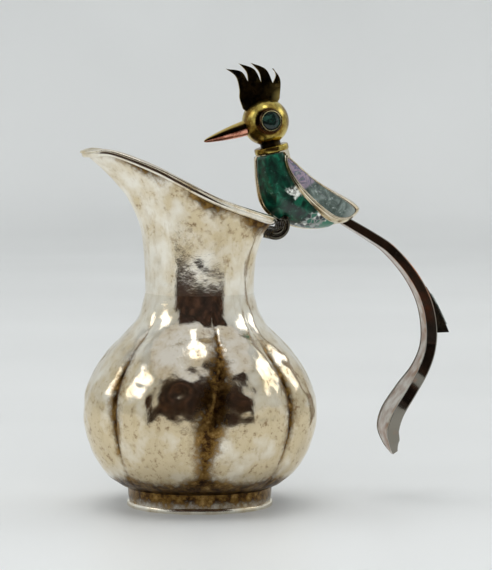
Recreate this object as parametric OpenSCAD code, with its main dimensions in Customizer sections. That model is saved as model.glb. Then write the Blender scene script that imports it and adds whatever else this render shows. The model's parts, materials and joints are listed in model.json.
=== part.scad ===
// Cream jug in hammered silver: a lobed bowl, a neck that flares into a long spout, and a
// stone-inlaid bird perched on the back of the rim, whose long tail is the handle.
// Millimetres, +Z up, -X towards the spout, +X towards the tail. The foot stands on z = 0
// round the origin, and the jug is symmetric about the XZ plane.

/* [Bowl] */
// Largest radius of the bowl, over the lobes
bowl_r = 43.9; // [40:0.1:53]
// Height of the widest part above the foot
bowl_belly_z = 29; // [24:0.5:35]
// Height of the throat, where bowl and neck are soldered, above the foot
throat_z = 71; // [64:0.5:86]
// Radius of the throat
throat_r = 20.1; // [18:0.1:24]
// Number of lobes
lobes = 8; // [6:1:10]
// Angle from the tail to the first groove
lobe_turn = 31; // [0:1:45]
// Depth of the grooves between the lobes
groove_depth = 2.4; // [0.5:0.1:3]
// Thickness of the silver sheet
sheet = 1.2; // [0.9:0.1:1.6]

/* [Foot] */
// Outer radius of the foot ring under the bowl
foot_r = 27; // [24:0.1:32]
// Height of the foot
foot_h = 7.8; // [6:0.1:10]
// Height of the flat wire round the bottom edge
foot_wire_h = 1.9; // [1.4:0.1:2.6]
// How far that wire stands out
foot_wire_t = 0.7; // [0.4:0.1:1.2]

/* [Neck and rim] */
// Rise of the rim above the throat, at the back
back_rise = 27.6; // [23:0.1:32]
// Rise of the rim above the throat, at the spout
spout_rise = 53; // [46:0.1:60]
// Reach of the spout wall from the axis
spout_reach = 44.6; // [38:0.1:52]
// Reach of the back wall from the axis, at the rim
back_reach = 27.2; // [25.5:0.1:31]
// Half width of the mouth
mouth_half = 25.6; // [23:0.1:29]
// Height of the strip round the rim
band_h = 3.4; // [2.4:0.1:4.4]
// How far that strip stands out
band_t = 1.2; // [0.8:0.1:1.6]

/* [Bird] */
// Half width of the body
body_half = 7.7; // [6.5:0.1:9]
// Radius of the collar
collar_r = 6.4; // [5.8:0.1:7]
// Height of the collar
collar_h = 2.3; // [1.6:0.1:3]
// Lean of the collar and head, in degrees
lean = 13; // [5:1:20]
// Radius of the head
head_r = 8.7; // [7.6:0.1:10.5]
// Length of the beak, from the head
beak_l = 16.4; // [13:0.1:20]
// Radius of the beak at its root
beak_r = 2.9; // [2.2:0.1:3.4]
// Height of the crest above the head
crest_h = 13; // [10:0.1:16]
// Thickness of the crest
crest_t = 1; // [0.8:0.1:1.4]
// Outer radius of the eye's bezel
bezel_r = 4.2; // [3.4:0.1:5]
// Thickness of the bezel's wall
bezel_wall = 0.8; // [0.5:0.1:1]
// Thickness of the breast and belly stones
stone_t = 0.8; // [0.5:0.1:1.1]

/* [Wings] */
// Length of a wing
wing_l = 36.7; // [31:0.1:44]
// Depth of a wing
wing_d = 10.6; // [9:0.1:12.6]
// Thickness of a wing
wing_t = 3; // [2.4:0.1:3.6]
// Width of the raised edge
wing_edge_w = 0.9; // [0.6:0.1:1.2]
// Width of the sloping side round a wing
wing_bevel = 1.1; // [0.6:0.1:1.4]
// Depth of the stones' pocket
pocket = 1.2; // [0.8:0.1:1.6]
// Outward tilt of a wing, in degrees
wing_tilt = 14; // [8:1:18]

/* [Tail] */
// Half width of the tail along its arch
tail_half = 4.1; // [3.3:0.1:5]
// Half width of the blade at the tail's end
blade_half = 8.2; // [6.5:0.1:9.8]
// Thickness of the tail at the arch
tail_t = 4.2; // [3.2:0.1:5]
// Thickness of the tail's sheet
tail_sheet = 0.9; // [0.7:0.1:1.1]
// Half width of the short feather on the tail's back
covert_half = 3.5; // [2.6:0.1:3.9]

/* [Feet] */
// Diameter of a toe
toe_d = 2.2; // [1.8:0.1:2.3]
// Distance from toe to toe
toe_pitch = 2.5; // [2.4:0.1:3]
// Radius of a toe's curl round the rim
curl_r = 4.4; // [4.3:0.1:5.2]

/* [Hidden] */

around = 96;              // points round the bowl, neck and rim strip
bed = 0.1;                // cement under a stone, and solder under a strip
silver = "silver";
patina = "dimgray";
brass = "goldenrod";
stone = "darkgreen";

// ---- curves and skins ----

// A point between b and c on the smooth curve through a, b, c and d
function between(a, b, c, d, t) =
    0.5 * (2 * b + (c - a) * t + (2 * a - 5 * b + 4 * c - d) * t * t
        + (3 * b - a - 3 * c + d) * t * t * t);

// The smooth curve through the points p, with n steps from each point to the next
function smooth(p, n) =
    let(last = len(p) - 1, q = concat([2 * p[0] - p[1]], p, [2 * p[last] - p[last - 1]]))
    [for (i = [0:last - 1], k = [0:n - 1]) between(q[i], q[i + 1], q[i + 2], q[i + 3], k / n),
        p[last]];

// The value a share u of the way along a list
function along(list, u) =
    let(x = min(max(u, 0), 1) * (len(list) - 1), i = min(floor(x), len(list) - 2))
    list[i] + (list[i + 1] - list[i]) * (x - i);

// The value at key x of a list of [key, value] rows in rising order of key
function lookup_row(rows, x, i = 0) =
    i >= len(rows) - 2 || rows[i + 1][0] >= x
        ? rows[i][1] + (rows[i + 1][1] - rows[i][1]) * (x - rows[i][0])
            / (rows[i + 1][0] - rows[i][0])
        : lookup_row(rows, x, i + 1);

function unit(v) = v / norm(v);
function reversed(list) = [for (i = [len(list) - 1:-1:0]) list[i]];
// The normal to the left of a plane curve at its point i
function side_of(c, i) =
    let(t = unit(c[min(i + 1, len(c) - 1)] - c[max(i - 1, 0)])) [-t[1], t[0]];

// A closed solid whose skin runs through rings of equally many points, an even number. It
// ends in two flat caps, each a strip laid across its ring, or the last ring joins the first.
module skin(rings, looped = false) {
    n = len(rings[0]);
    rows = len(rings);
    links = looped ? rows : rows - 1;
    sides = [for (r = [0:links - 1], i = [0:n - 1])
        let(a = r * n, b = (r + 1) % rows * n, j = (i + 1) % n)
        each [[a + i, b + j, a + j], [a + i, b + i, b + j]]];
    end = (rows - 1) * n;
    caps = looped ? [] : [for (i = [0:n / 2 - 2]) let(j = n - 1 - i)
        each [[i, i + 1, j - 1], [i, j - 1, j],
            [end + i + 1, end + i, end + j - 1], [end + i, end + j, end + j - 1]]];
    polyhedron([for (r = rings) each r], concat(sides, caps), convexity = 8);
}

// ---- bowl ----

// The bowl's profile: radius and height, from the middle of its floor to the throat
foot_seat = foot_h - 0.6;
bowl_span = bowl_r - foot_r;
top_span = bowl_r - throat_r;
belly_z = foot_h + bowl_belly_z;
throat_top = foot_h + throat_z;
over_belly = throat_top - belly_z;
floor_drop = 3;
bowl_way = smooth([
    [foot_r * 0.12, foot_h - floor_drop],
    [foot_r * 0.65, foot_h - 0.75 * floor_drop],
    [foot_r, foot_seat],
    [foot_r + 0.44 * bowl_span, foot_h + 0.14 * bowl_belly_z],
    [foot_r + 0.78 * bowl_span, foot_h + 0.42 * bowl_belly_z],
    [foot_r + 0.97 * bowl_span, foot_h + 0.75 * bowl_belly_z],
    [bowl_r, belly_z],
    [throat_r + 0.93 * top_span, belly_z + 0.20 * over_belly],
    [throat_r + 0.62 * top_span, belly_z + 0.48 * over_belly],
    [throat_r + 0.17 * top_span, belly_z + 0.75 * over_belly],
    [throat_r, throat_top], [throat_r, throat_top + 9]], 2);

// The last point only makes the profile upright where it meets the neck
bowl_curve = [for (i = [0:len(bowl_way) - 3]) bowl_way[i]];

// How deep the grooves are at a height, as a share: none at foot and throat
function groove_at(z) =
    let(u = (z - foot_h) / (throat_z - 4)) u <= 0 || u >= 1 ? 0 : pow(sin(180 * u), 0.75);
// Distance into a groove at an angle: rounded lobes that meet in narrow valleys
function valley(a) = 1 - pow(abs(sin(lobes * (a - lobe_turn) / 2)), 0.55);
function lobed(r, z, a) = r - groove_depth * groove_at(z) * valley(a);
function bowl_ring(r, z, inset) =
    [for (i = [0:around - 1]) let(a = i * 360 / around, q = lobed(r, z, a) - inset)
        [q * cos(a), q * sin(a), z]];

module bowl() {
    // The wall is measured square to the profile, and level at the throat
    normals = [for (i = [0:len(bowl_curve) - 1]) side_of(bowl_curve, i)];
    top = len(bowl_curve) - 1;
    inner = [for (i = [0:top])
        bowl_curve[i] + sheet * (i == top ? [-1, 0] : i == 0 ? [0, 1] : normals[i])];
    color(silver) skin(concat(
        [for (p = bowl_curve) bowl_ring(p[0], p[1], 0)],
        [for (i = [top:-1:0]) let(p = inner[i], q = bowl_curve[i])
            [for (k = [0:around - 1])
                let(a = k * 360 / around, r = lobed(q[0], q[1], a) - q[0] + p[0])
                [r * cos(a), r * sin(a), p[1]]]]));
}

// ---- foot ----

foot_in = foot_r - sheet - 0.6;
// Height of the bowl's underside at a radius near the foot
function under_bowl(r) = lookup_row([for (i = [0:4]) bowl_curve[i]], r) - 0.02;

module foot_ring() {
    waist = foot_r - 0.5;
    outside = smooth([[foot_r - foot_wire_t, foot_wire_h], [waist, foot_h * 0.55],
        [foot_r - 0.3, under_bowl(foot_r - 0.3)]], 4);
    inner_r = foot_in;
    color(silver) rotate_extrude($fn = 128)
        polygon(concat([[inner_r, 0], [foot_r - foot_wire_t, 0]], outside,
            [[inner_r, under_bowl(inner_r)]]));
}

module foot_wire() {
    inner_r = foot_r - foot_wire_t;
    color(silver) rotate_extrude($fn = 128)
        polygon([[inner_r, 0], [foot_r - 0.2, 0], [foot_r, 0.3], [foot_r, foot_wire_h - 0.5],
            [foot_r - 0.3, foot_wire_h], [inner_r, foot_wire_h]]);
}

// ---- neck, spout and rim ----

neck_rows = 10;
flare = 3.1;              // how late the neck opens out: a higher power keeps it upright longer
side_flare = 1.7;         // the same at its sides, where it opens out sooner
mouth_curve = smooth([
    [back_reach, 0],
    [back_reach * 0.985, mouth_half * 0.2],
    [back_reach * 0.82, mouth_half * 0.70],
    [0, mouth_half],
    [-spout_reach * 0.42, mouth_half * 0.80],
    [-spout_reach * 0.72, mouth_half * 0.49],
    [-spout_reach * 0.92, mouth_half * 0.25],
    [-spout_reach, 0]], 8);
mouth_back_z = throat_top + back_rise;
mouth_rise = spout_rise - back_rise;
// The rim's height, by distance towards the spout
rim_line = smooth([
    [-back_reach, mouth_back_z],
    [-back_reach * 0.67, mouth_back_z + 0.10 * mouth_rise],
    [0, mouth_back_z + 0.347 * mouth_rise],
    [spout_reach * 0.46, mouth_back_z + 0.768 * mouth_rise],
    [spout_reach * 0.80, mouth_back_z + 1.0 * mouth_rise],
    [spout_reach, mouth_back_z + 0.98 * mouth_rise]], 6);
function rim_z(x) = lookup_row(rim_line, -x);

// The mouth from back to spout on one side and home on the other, as plan points
function mouth_point(i) =
    let(u = i / around, half = u <= 0.5 ? 2 * u : 2 - 2 * u, p = along(mouth_curve, half))
    [p[0], u <= 0.5 ? p[1] : -p[1]];
mouth = [for (i = [0:around - 1]) mouth_point(i)];
throat = [for (p = mouth) let(a = atan2(p[1], p[0])) [throat_r * cos(a), throat_r * sin(a)]];

// The neck's outer face at point i of the ring, a share v of the way up to the rim
function wall_point(i, v) =
    let(m = mouth[i], side = m[1] * m[1] / (m[0] * m[0] + m[1] * m[1]),
        k = pow(v, flare + (side_flare - flare) * side), p = throat[i] + (m - throat[i]) * k)
    [p[0], p[1], throat_top + (rim_z(mouth[i][0]) - throat_top) * v];
// The share of the wall that the rim strip leaves free at point i
function band_from(i) = 1 - band_h / norm(wall_point(i, 1) - wall_point(i, 0.93)) * 0.07;
function wall_row(k) = [for (i = [0:around - 1]) wall_point(i, band_from(i) * k / neck_rows)];
wall_rows = concat([for (k = [0:neck_rows]) wall_row(k)],
    [[for (i = [0:around - 1]) wall_point(i, 1)]]);
// The outward normal of the wall under the rim strip at point i
function out_of(i) =
    let(r = wall_rows[neck_rows + 1], b = wall_rows[neck_rows],
        t = r[(i + 1) % around] - r[(i + around - 1) % around])
    unit(cross(t, r[i] - b[i]));
// A row of the wall moved in by the sheet's thickness, level so that both ends stay flat
function inward(row) =
    [for (p = row) let(k = 1 - sheet / norm([p[0], p[1]])) [p[0] * k, p[1] * k, p[2]]];

module neck_spout() {
    color(silver) skin(concat(wall_rows, reversed([for (r = wall_rows) inward(r)])), looped = true);
}

module rim_band() {
    // The strip's section: shares of its height and of its thickness
    section = [[0, 0], [0.06, 0.75], [0.3, 1], [0.7, 1], [0.95, 0.75], [1, 0]];
    foot_row = wall_rows[neck_rows];
    rim_row = wall_rows[neck_rows + 1];
    normals = [for (i = [0:around - 1]) out_of(i)];
    color(silver) skin([for (s = section)
        [for (i = [0:around - 1]) foot_row[i] + (rim_row[i] - foot_row[i]) * s[0]
            + normals[i] * band_t * s[1]]], looped = true);
}

// ---- the bird: its own places are measured from the perch, on the rim's back ----

perch = [back_reach + band_t + 0.6, 0, mouth_back_z - 1.2];
module on_perch() { translate(perch) children(); }
// A place in the bird's plane of symmetry
function place(p) = [p[0], 0, p[1]];

lean_up = [-sin(lean), cos(lean)];
lean_across = [cos(lean), sin(lean)];
collar_at = [-1.5, 26.3];
throat_half = collar_r - 0.3;
collar_seat = collar_at - lean_up * collar_h / 2;
head_gap = 0.5;           // the neck tube shows this far between collar and head
head_at = collar_at + lean_up * (collar_h / 2 + head_gap + head_r);

// Breast and belly below, back above: the body's rounded ribs stand between the two lines
breast_line = smooth([collar_seat - lean_across * throat_half, [-6.7, 14.3], [-4.6, 5.8],
    [1, 0.5], [9, -2.4], [17, -2.8], [27.3, -1.2]], 3);
back_line = smooth([collar_seat + lean_across * throat_half, [7.2, 19.2], [11.8, 14.2],
    [16.3, 10.4], [20.8, 7.4], [24.8, 5.2], [29, 1.8]], 3);
rib_half = smooth([throat_half, body_half * 0.90, body_half * 0.98, body_half,
    body_half * 0.92, body_half * 0.70, tail_half * 0.75], 3);
ribs = len(breast_line) - 1;
rib_points = 28;
// A point at rib i, which may lie between two ribs: step 0 is on the breast line, and half way
// round is on the back line. It is d outside the body.
function rib_point(i, step, d = 0) =
    let(a = step * 360 / rib_points, low = along(breast_line, i / ribs),
        high = along(back_line, i / ribs), h = (high - low) / 2,
        g = (low + high) / 2 - unit(h) * cos(a) * (norm(h) + d))
    [g[0], sin(a) * (along(rib_half, i / ribs) + d), g[1]];

module bird_body() {
    color(silver) on_perch()
        skin([for (i = [0:ribs]) [for (k = [0:rib_points - 1]) rib_point(i, k)]]);
}

// A plate laid on the body over the ribs and the steps round it that are listed
module plate(over_ribs, steps, thick) {
    skin([for (i = over_ribs) concat([for (a = steps) rib_point(i, a, bed + thick)],
        [for (a = reversed([for (b = steps) b])) rib_point(i, a, bed)])]);
}

// side is 1 on the bird's right, at +Y, and -1 on its left
module handed(side) { mirror([0, side > 0 ? 0 : 1, 0]) children(); }

// A stone inlay: plates on one flank, cut back where the wing lies
module inlay(side, shade) {
    color(shade) difference() {
        on_perch() handed(side) children();
        wing_place(side) translate([0, 0, -0.05]) linear_extrude(wing_t + 1) wing_shape(-0.1);
    }
}

inlay_from = 0.08;        // where the inlay starts under the collar, in ribs
module breast_strip() {
    color(silver) on_perch() plate([for (i = [0:ribs - 2]) max(i, inlay_from)], [-1:1], stone_t + 0.1);
}
module breast_stone(side) { inlay(side, stone) plate([for (i = [0:7]) max(i, inlay_from)], [1:8], stone_t); }
module flank_stone(side) { inlay(side, stone) plate([8.1:11.1], [3:8], stone_t); }
module belly_stone(side) { inlay(side, "seagreen") plate([14.2:16.2], [1:5], stone_t * 0.8); }
// Chips of dark stone in two patches, each chip a little smaller than its place
module chip_mosaic(side) {
    gap = 0.07;
    patches = concat([for (a = [4:7]) [7, a]], [for (i = [11:13], a = [2:6]) [i, a]]);
    inlay(side, "slategray") for (c = patches)
        plate([c[0] + gap + 0.15, c[0] + 1 - gap], [c[1] + gap, c[1] + 1 - gap], stone_t * 0.9);
}

// ---- wings ----

wing_at = [1.6, 25.4];
wing_lift = body_half - 3.1;
wing_fall = 37.8;
widest = 0.69;            // where the wing is deepest, as a share of its length
// Depth of the wing at a share t of its length: a slow rise, then a blunt round end
function wing_depth(t) =
    wing_d * (t < widest ? sqrt(sin(90 * t / widest))
        : sqrt(1 - pow((t - widest) / (1 - widest), 2.6)));
wing_steps = 28;
wing_outline = concat([for (k = [0:wing_steps]) let(t = (1 - cos(180 * k / wing_steps)) / 2)
    [wing_l * t, -wing_depth(t)]], [[wing_l * 0.98, 1.2], [wing_l * 0.85, 1.4], [wing_l * 0.45, -0.8]]);
wing_centre = [wing_l * 0.56, -wing_d * 0.46];
// The outline drawn in by w all round
module wing_shape(w) {
    k = [1 - 2 * w / wing_l, 1 - 2 * w / wing_d];
    polygon([for (p = wing_outline) [wing_centre[0] + (p[0] - wing_centre[0]) * k[0],
        wing_centre[1] + (p[1] - wing_centre[1]) * k[1]]]);
}
// Takes a plate drawn in the wing's plane, its outer side up, to its place on the body
module wing_place(side) {
    on_perch() handed(side) translate([wing_at[0], wing_lift, wing_at[1]])
        rotate([0, wing_fall, 0]) rotate([90 + wing_tilt, 0, 0]) mirror([0, 0, 1]) children();
}

module wing_tray(side) {
    color(silver) wing_place(side) difference() {
        union() {
            linear_extrude(wing_t * 0.4) wing_shape(0);
            linear_extrude(wing_t * 0.7) wing_shape(wing_bevel / 2);
            linear_extrude(wing_t - 0.4) wing_shape(wing_bevel);
        }
        translate([0, 0, wing_t - pocket]) linear_extrude(pocket) wing_shape(wing_bevel + wing_edge_w);
    }
}
module wing_edge(side) {
    color(silver) wing_place(side) translate([0, 0, wing_t - 0.4]) linear_extrude(0.7)
        difference() {
            wing_shape(wing_bevel + 0.1);
            wing_shape(wing_bevel + wing_edge_w);
        }
}
// The two inlays meet along a slanting cut
module wing_half(front) {
    cut = wing_l * 0.38;
    intersection() {
        wing_shape(wing_bevel + wing_edge_w);
        polygon(front ? [[-1, 5], [cut + 4, 5], [cut - 2, -wing_d - 1], [-1, -wing_d - 1]]
            : [[cut + 4.15, 5], [wing_l + 1, 5], [wing_l + 1, -wing_d - 1], [cut - 1.85, -wing_d - 1]]);
    }
}
module wing_abalone(side) {
    color("thistle") wing_place(side) translate([0, 0, wing_t - pocket]) linear_extrude(pocket - 0.1)
        wing_half(true);
}
module wing_malachite(side) {
    color(stone) wing_place(side) translate([0, 0, wing_t - pocket]) linear_extrude(pocket - 0.2)
        wing_half(false);
}

// ---- collar and head ----

// Takes a piece that stands on z = 0 to a point on the leaning neck axis
module leaning(p) { on_perch() translate(place(p)) rotate([0, -lean, 0]) children(); }

tube_r = collar_r - 2.6;
module collar() {
    color(brass) leaning(collar_at - lean_up * collar_h / 2) rotate_extrude($fn = 96) polygon([
        [tube_r + 0.02, 0], [collar_r - 0.3, 0], [collar_r, 0.4], [collar_r, collar_h - 0.5],
        [collar_r - 0.4, collar_h], [tube_r + 0.02, collar_h]]);
}
module neck_tube() {
    color(brass) difference() {
        leaning(collar_seat)
            cylinder(r = tube_r, h = collar_h + head_gap + head_r * 0.5, $fn = 96);
        head_ball(head_r);
    }
}

head_wall = 0.9;
module at_head() { on_perch() translate(place(head_at)) children(); }
module head_ball(r) { at_head() sphere(r = r, $fn = 96); }
eye_at = [-0.3, 0.5];
module at_eye(side) {
    at_head() handed(side) translate([eye_at[0], 0, eye_at[1]]) rotate([-90, 0, 0]) children();
}
// A domed half of the head, its edge in the plane of symmetry
module head_half(side) {
    color(brass) difference() {
        at_head() handed(side) rotate([-90, 0, 0]) rotate_extrude($fn = 96) difference() {
            intersection() {
                circle(r = head_r, $fn = 96);
                square(head_r * 1.01);
            }
            circle(r = head_r - head_wall, $fn = 96);
        }
        at_eye(side) cylinder(r = bezel_r, h = head_r * 2, $fn = 96);
    }
}

bezel_from = head_r * 0.72;
bezel_to = head_r + 1.1;
module eye_bezel(side) {
    inner = bezel_r - bezel_wall;
    color(patina) at_eye(side) rotate_extrude($fn = 96) polygon([
        [inner, bezel_from + 0.6], [inner, bezel_to], [bezel_r - 0.15, bezel_to],
        [bezel_r, bezel_to - 0.3], [bezel_r, bezel_from], [0, bezel_from], [0, bezel_from + 0.6]]);
}
module eye_stone(side) {
    inner = bezel_r - bezel_wall - 0.02;
    height = bezel_to - bezel_from - 0.6 - 0.5;
    dome = 1.1;
    ball = (inner * inner + dome * dome) / (2 * dome);
    color("black") at_eye(side) translate([0, 0, bezel_from + 0.6]) intersection() {
        cylinder(r = inner, h = height + dome, $fn = 96);
        translate([0, 0, height + dome - ball]) sphere(r = ball, $fn = 96);
    }
}

// The beak: a round taper with a slightly arched outline, parted along the mouth
beak_droop = 197;
beak_root = head_r * 0.93;
module beak_half(side) {
    outline = smooth([[beak_r, 0], [beak_r * 0.86, beak_l * 0.3], [beak_r * 0.60, beak_l * 0.62],
        [beak_r * 0.30, beak_l * 0.9], [0.02, beak_l]], 4);
    difference() {
        at_head() translate(place([cos(beak_droop), sin(beak_droop)] * beak_root))
            rotate([0, 180 - beak_droop, 0]) rotate([0, -90, 0]) translate([0, 0, -1.5])
            rotate([0, 0, side > 0 ? -90 : 90]) rotate_extrude(angle = 180, $fn = 64)
            polygon(concat([[0, 0], [beak_r, 0]], [for (p = outline) p + [0, 1.5]],
                [[0, beak_l + 1.5]]));
        head_ball(head_r);
    }
}
module beak_upper() { color("saddlebrown") beak_half(1); }
module beak_lower() { color("rosybrown") beak_half(-1); }

// The crest: a thin comb of four feathers that sweep towards the beak
module crest() {
    s = crest_h / 13;
    // Tip, then the notch behind it, measured from the top of the head
    feathers = [[[-15.1, 10.8], [-6.6, 6.0]], [[-10.2, 12.8], [-1.6, 5.7]],
        [[-5.6, 13], [2.8, 5.5]], [[2.8, 11], [5.4, 0]]];
    front = smooth([[-8.6, -4], [-9.9, 0], [-10.0, 3.5], [-11.4, 8.0], feathers[0][0]], 4);
    backs = [for (k = [0:3]) let(t = feathers[k][0], n = feathers[k][1],
        next = k < 3 ? feathers[k + 1][0] : n,
        bow = [(t[0] + n[0]) / 2 + 1.5, (t[1] + n[1]) / 2 + 1.4])
        each concat(smooth([t, bow, n], 4),
            k < 3 ? smooth([n, (n + next) / 2 + [1.1, 0.2], next], 3) : [])];
    color(brass) difference() {
        at_head() translate([0, crest_t / 2, head_r]) rotate([90, 0, 0]) linear_extrude(crest_t)
            polygon([for (p = concat(front, backs, [[3.5, -4], [0, -6], [-6, -6]])) p * s]);
        head_ball(head_r);
    }
}

// ---- tail ----

// The tail's inner face, from under the wings, over the arch and out to the blade's tip
tail_line = smooth([[23.6, -0.6], [36.2, -8.2], [43.2, -13.2], [50.6, -21.6], [55.8, -31],
    [57.9, -40.4], [57.6, -48.6], [54.8, -56], [49.6, -63.6], [44, -72], [41.8, -79], [43.3, -85],
    [45.7, -89]], 3);
tail_halves = smooth([tail_half * 0.7, tail_half * 0.9, tail_half, tail_half, tail_half,
    tail_half, tail_half, tail_half * 0.5 + blade_half * 0.4, blade_half * 0.93, blade_half,
    blade_half * 0.86, blade_half * 0.56, blade_half * 0.16], 3);
tail_thicks = smooth([for (k = [0.72, 0.80, 0.84, 0.88, 0.94, 1, 1, 0.98, 0.96, 1, 1.1, 1.05,
    0.55]) k * tail_t], 3);
tail_steps = len(tail_line) - 1;
// A point at station i: y across the tail, d out from its inner face
function tail_point(i, y, d) =
    let(n = side_of(tail_line, i), p = tail_line[i] + n * d) [p[0], y, p[1]];

module tail_channel() {
    color(silver) on_perch() skin([for (i = [0:tail_steps])
        let(w = tail_halves[i], t = tail_thicks[i], s = min(tail_sheet, 0.45 * t, 0.45 * w))
        [for (q = [[w, 0], [w, t], [-w, t], [-w, 0], [s - w, 0], [s - w, t - s], [w - s, t - s],
            [w - s, 0]]) tail_point(i, q[0], q[1])]]);
}
module tail_facing() {
    color("lightgray") on_perch() skin([for (i = [0:tail_steps])
        let(w = tail_halves[i], t = tail_thicks[i], s = min(tail_sheet, 0.45 * t, 0.45 * w),
            h = min(0.8, 0.45 * t), g = w - s - 0.04)
        [for (q = [[g, 0.05], [g, h], [-g, h], [-g, 0.05]]) tail_point(i, q[0], q[1])]]);
}

covert_from = 11;         // the stations of the tail that the short feather covers
covert_to = 16;
covert_rise = 4.2;        // how far the feather's end stands off the tail
function covert_lift(u) = covert_rise * pow(u, 1.5);
function covert_place(u, y, d) =
    let(x = covert_from + (covert_to - covert_from) * u,
        i = min(floor(x), tail_steps - 1), f = x - i,
        a = tail_point(i, y, tail_thicks[i] + bed / 2 + d),
        b = tail_point(i + 1, y, tail_thicks[i + 1] + bed / 2 + d))
    a + (b - a) * f;
covert_rows = 6;
module tail_covert() {
    color(patina) on_perch() skin([for (k = [0:covert_rows])
        let(u = k / covert_rows, w = covert_half * (0.75 + 0.25 * u), h = 0.5 + covert_lift(u))
        [for (q = [[w, 0], [w, h], [-w, h], [-w, 0]]) covert_place(u, q[0], q[1])]]);
}
module tail_covert_stone() {
    color(stone) on_perch() skin([for (k = [1:covert_rows - 1])
        let(u = k / covert_rows, w = covert_half * (0.75 + 0.25 * u) - 0.7,
            h = 0.5 + covert_lift(u) + bed)
        [for (q = [[w, h], [w, h + 0.5], [-w, h + 0.5], [-w, h]]) covert_place(u, q[0], q[1])]]);
}

// ---- feet ----

// Three toes curl from the ankle, down behind the rim and in under its strip
curl_at = [-1.65, -1.6];
curl_from = -126;         // angle of a toe's tip under the strip, level being 0
curl_turn = 160;          // how far a toe curls, up to the ankle
ankle_over = 0.05;        // how far the ankle's rod stands out round the toes
module bird_foot(side) {
    color(patina) on_perch() handed(side) translate([curl_at[0], 0, curl_at[1]]) {
        for (k = [0:2]) translate([0, toe_pitch * (k + 0.5), 0]) rotate([90, 0, 0])
            rotate([0, 0, curl_from]) rotate_extrude(angle = curl_turn, $fn = 72)
                translate([curl_r, 0]) circle(d = toe_d, $fn = 32);
        rotate([0, -curl_from - curl_turn, 0])
            translate([curl_r, (toe_pitch - toe_d) / 2 - ankle_over, 0]) rotate([-90, 0, 0])
                cylinder(d = toe_d + 4 * ankle_over, h = toe_pitch * 2 + toe_d + 2 * ankle_over,
                    $fn = 48);
    }
}

// ---- the pieces ----

bowl();
foot_ring();
foot_wire();
neck_spout();
rim_band();
bird_body();
breast_strip();
breast_stone(-1);  // breast_stone_left
breast_stone(1);  // breast_stone_right
flank_stone(-1);  // flank_stone_left
flank_stone(1);  // flank_stone_right
chip_mosaic(-1);  // chip_mosaic_left
chip_mosaic(1);  // chip_mosaic_right
belly_stone(-1);  // belly_stone_left
belly_stone(1);  // belly_stone_right
wing_tray(-1);  // wing_tray_left
wing_tray(1);  // wing_tray_right
wing_edge(-1);  // wing_edge_left
wing_edge(1);  // wing_edge_right
wing_abalone(-1);  // wing_abalone_left
wing_abalone(1);  // wing_abalone_right
wing_malachite(-1);  // wing_malachite_left
wing_malachite(1);  // wing_malachite_right
collar();
neck_tube();
head_half(-1);  // head_left
head_half(1);  // head_right
eye_bezel(-1);  // eye_bezel_left
eye_bezel(1);  // eye_bezel_right
eye_stone(-1);  // eye_stone_left
eye_stone(1);  // eye_stone_right
beak_upper();
beak_lower();
crest();
tail_channel();
tail_facing();
tail_covert();
tail_covert_stone();
bird_foot(-1);  // foot_left
bird_foot(1);  // foot_right
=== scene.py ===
# %% [markdown]
# # A silver cream jug whose handle is a bird's tail
# The jug is raised from one silver sheet: a bowl with eight lobes, a narrow throat and a long
# flared spout. A bird with inlaid stones sits on the rim, and its tail is the handle. The sizes
# come from the CAD model that is loaded here. This lesson gives each of its pieces a finer skin
# and a finish.

# %% Load the frame
import json
import math

import bpy
import numpy as np
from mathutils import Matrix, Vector
from mathutils.geometry import tessellate_polygon

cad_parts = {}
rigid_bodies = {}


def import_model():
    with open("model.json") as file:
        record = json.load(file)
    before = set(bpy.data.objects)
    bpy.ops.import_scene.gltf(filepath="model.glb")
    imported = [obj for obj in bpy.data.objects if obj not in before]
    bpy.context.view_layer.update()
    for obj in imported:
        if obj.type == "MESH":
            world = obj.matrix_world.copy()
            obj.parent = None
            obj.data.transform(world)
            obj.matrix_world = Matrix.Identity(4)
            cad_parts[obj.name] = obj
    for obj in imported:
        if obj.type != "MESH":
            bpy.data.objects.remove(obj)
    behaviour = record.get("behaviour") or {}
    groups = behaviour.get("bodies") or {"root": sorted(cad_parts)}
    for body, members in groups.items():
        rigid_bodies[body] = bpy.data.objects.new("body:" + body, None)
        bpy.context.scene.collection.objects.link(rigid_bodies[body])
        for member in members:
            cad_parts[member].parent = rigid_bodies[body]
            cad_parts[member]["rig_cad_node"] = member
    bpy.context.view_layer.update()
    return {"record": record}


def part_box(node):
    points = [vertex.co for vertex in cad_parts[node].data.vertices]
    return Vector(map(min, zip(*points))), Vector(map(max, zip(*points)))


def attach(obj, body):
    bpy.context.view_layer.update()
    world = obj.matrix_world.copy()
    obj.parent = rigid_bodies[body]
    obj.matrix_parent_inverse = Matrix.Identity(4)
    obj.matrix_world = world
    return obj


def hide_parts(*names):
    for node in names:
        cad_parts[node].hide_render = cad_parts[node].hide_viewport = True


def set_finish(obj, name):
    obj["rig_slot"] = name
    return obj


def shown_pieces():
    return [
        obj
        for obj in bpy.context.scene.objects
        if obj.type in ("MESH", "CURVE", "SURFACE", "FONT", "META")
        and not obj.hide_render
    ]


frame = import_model()
MM = 0.001

# %% [markdown]
# ## Camera
# A long lens, a little over a metre away, keeps the jug's upright lines upright. It stands
# slightly above the jug and a little towards the spout, so the mouth shows as a thin line.

# %% Camera
camera = bpy.data.objects.new("camera", bpy.data.cameras.new("camera"))
bpy.context.collection.objects.link(camera)
camera.data.lens = 188.745
camera.data.sensor_width = 36
camera.location = (-0.266114, -1.067325, 0.164396)
looked_at = Vector((0.016639, -0.004149, 0.081488))
camera.rotation_euler = (looked_at - camera.location).to_track_quat("-Z", "Y").to_euler()
camera.data.clip_start, camera.data.clip_end = 0.05, 50
bpy.context.scene.camera = camera
print("camera", round((camera.location).length, 3), "m from the foot")

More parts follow.
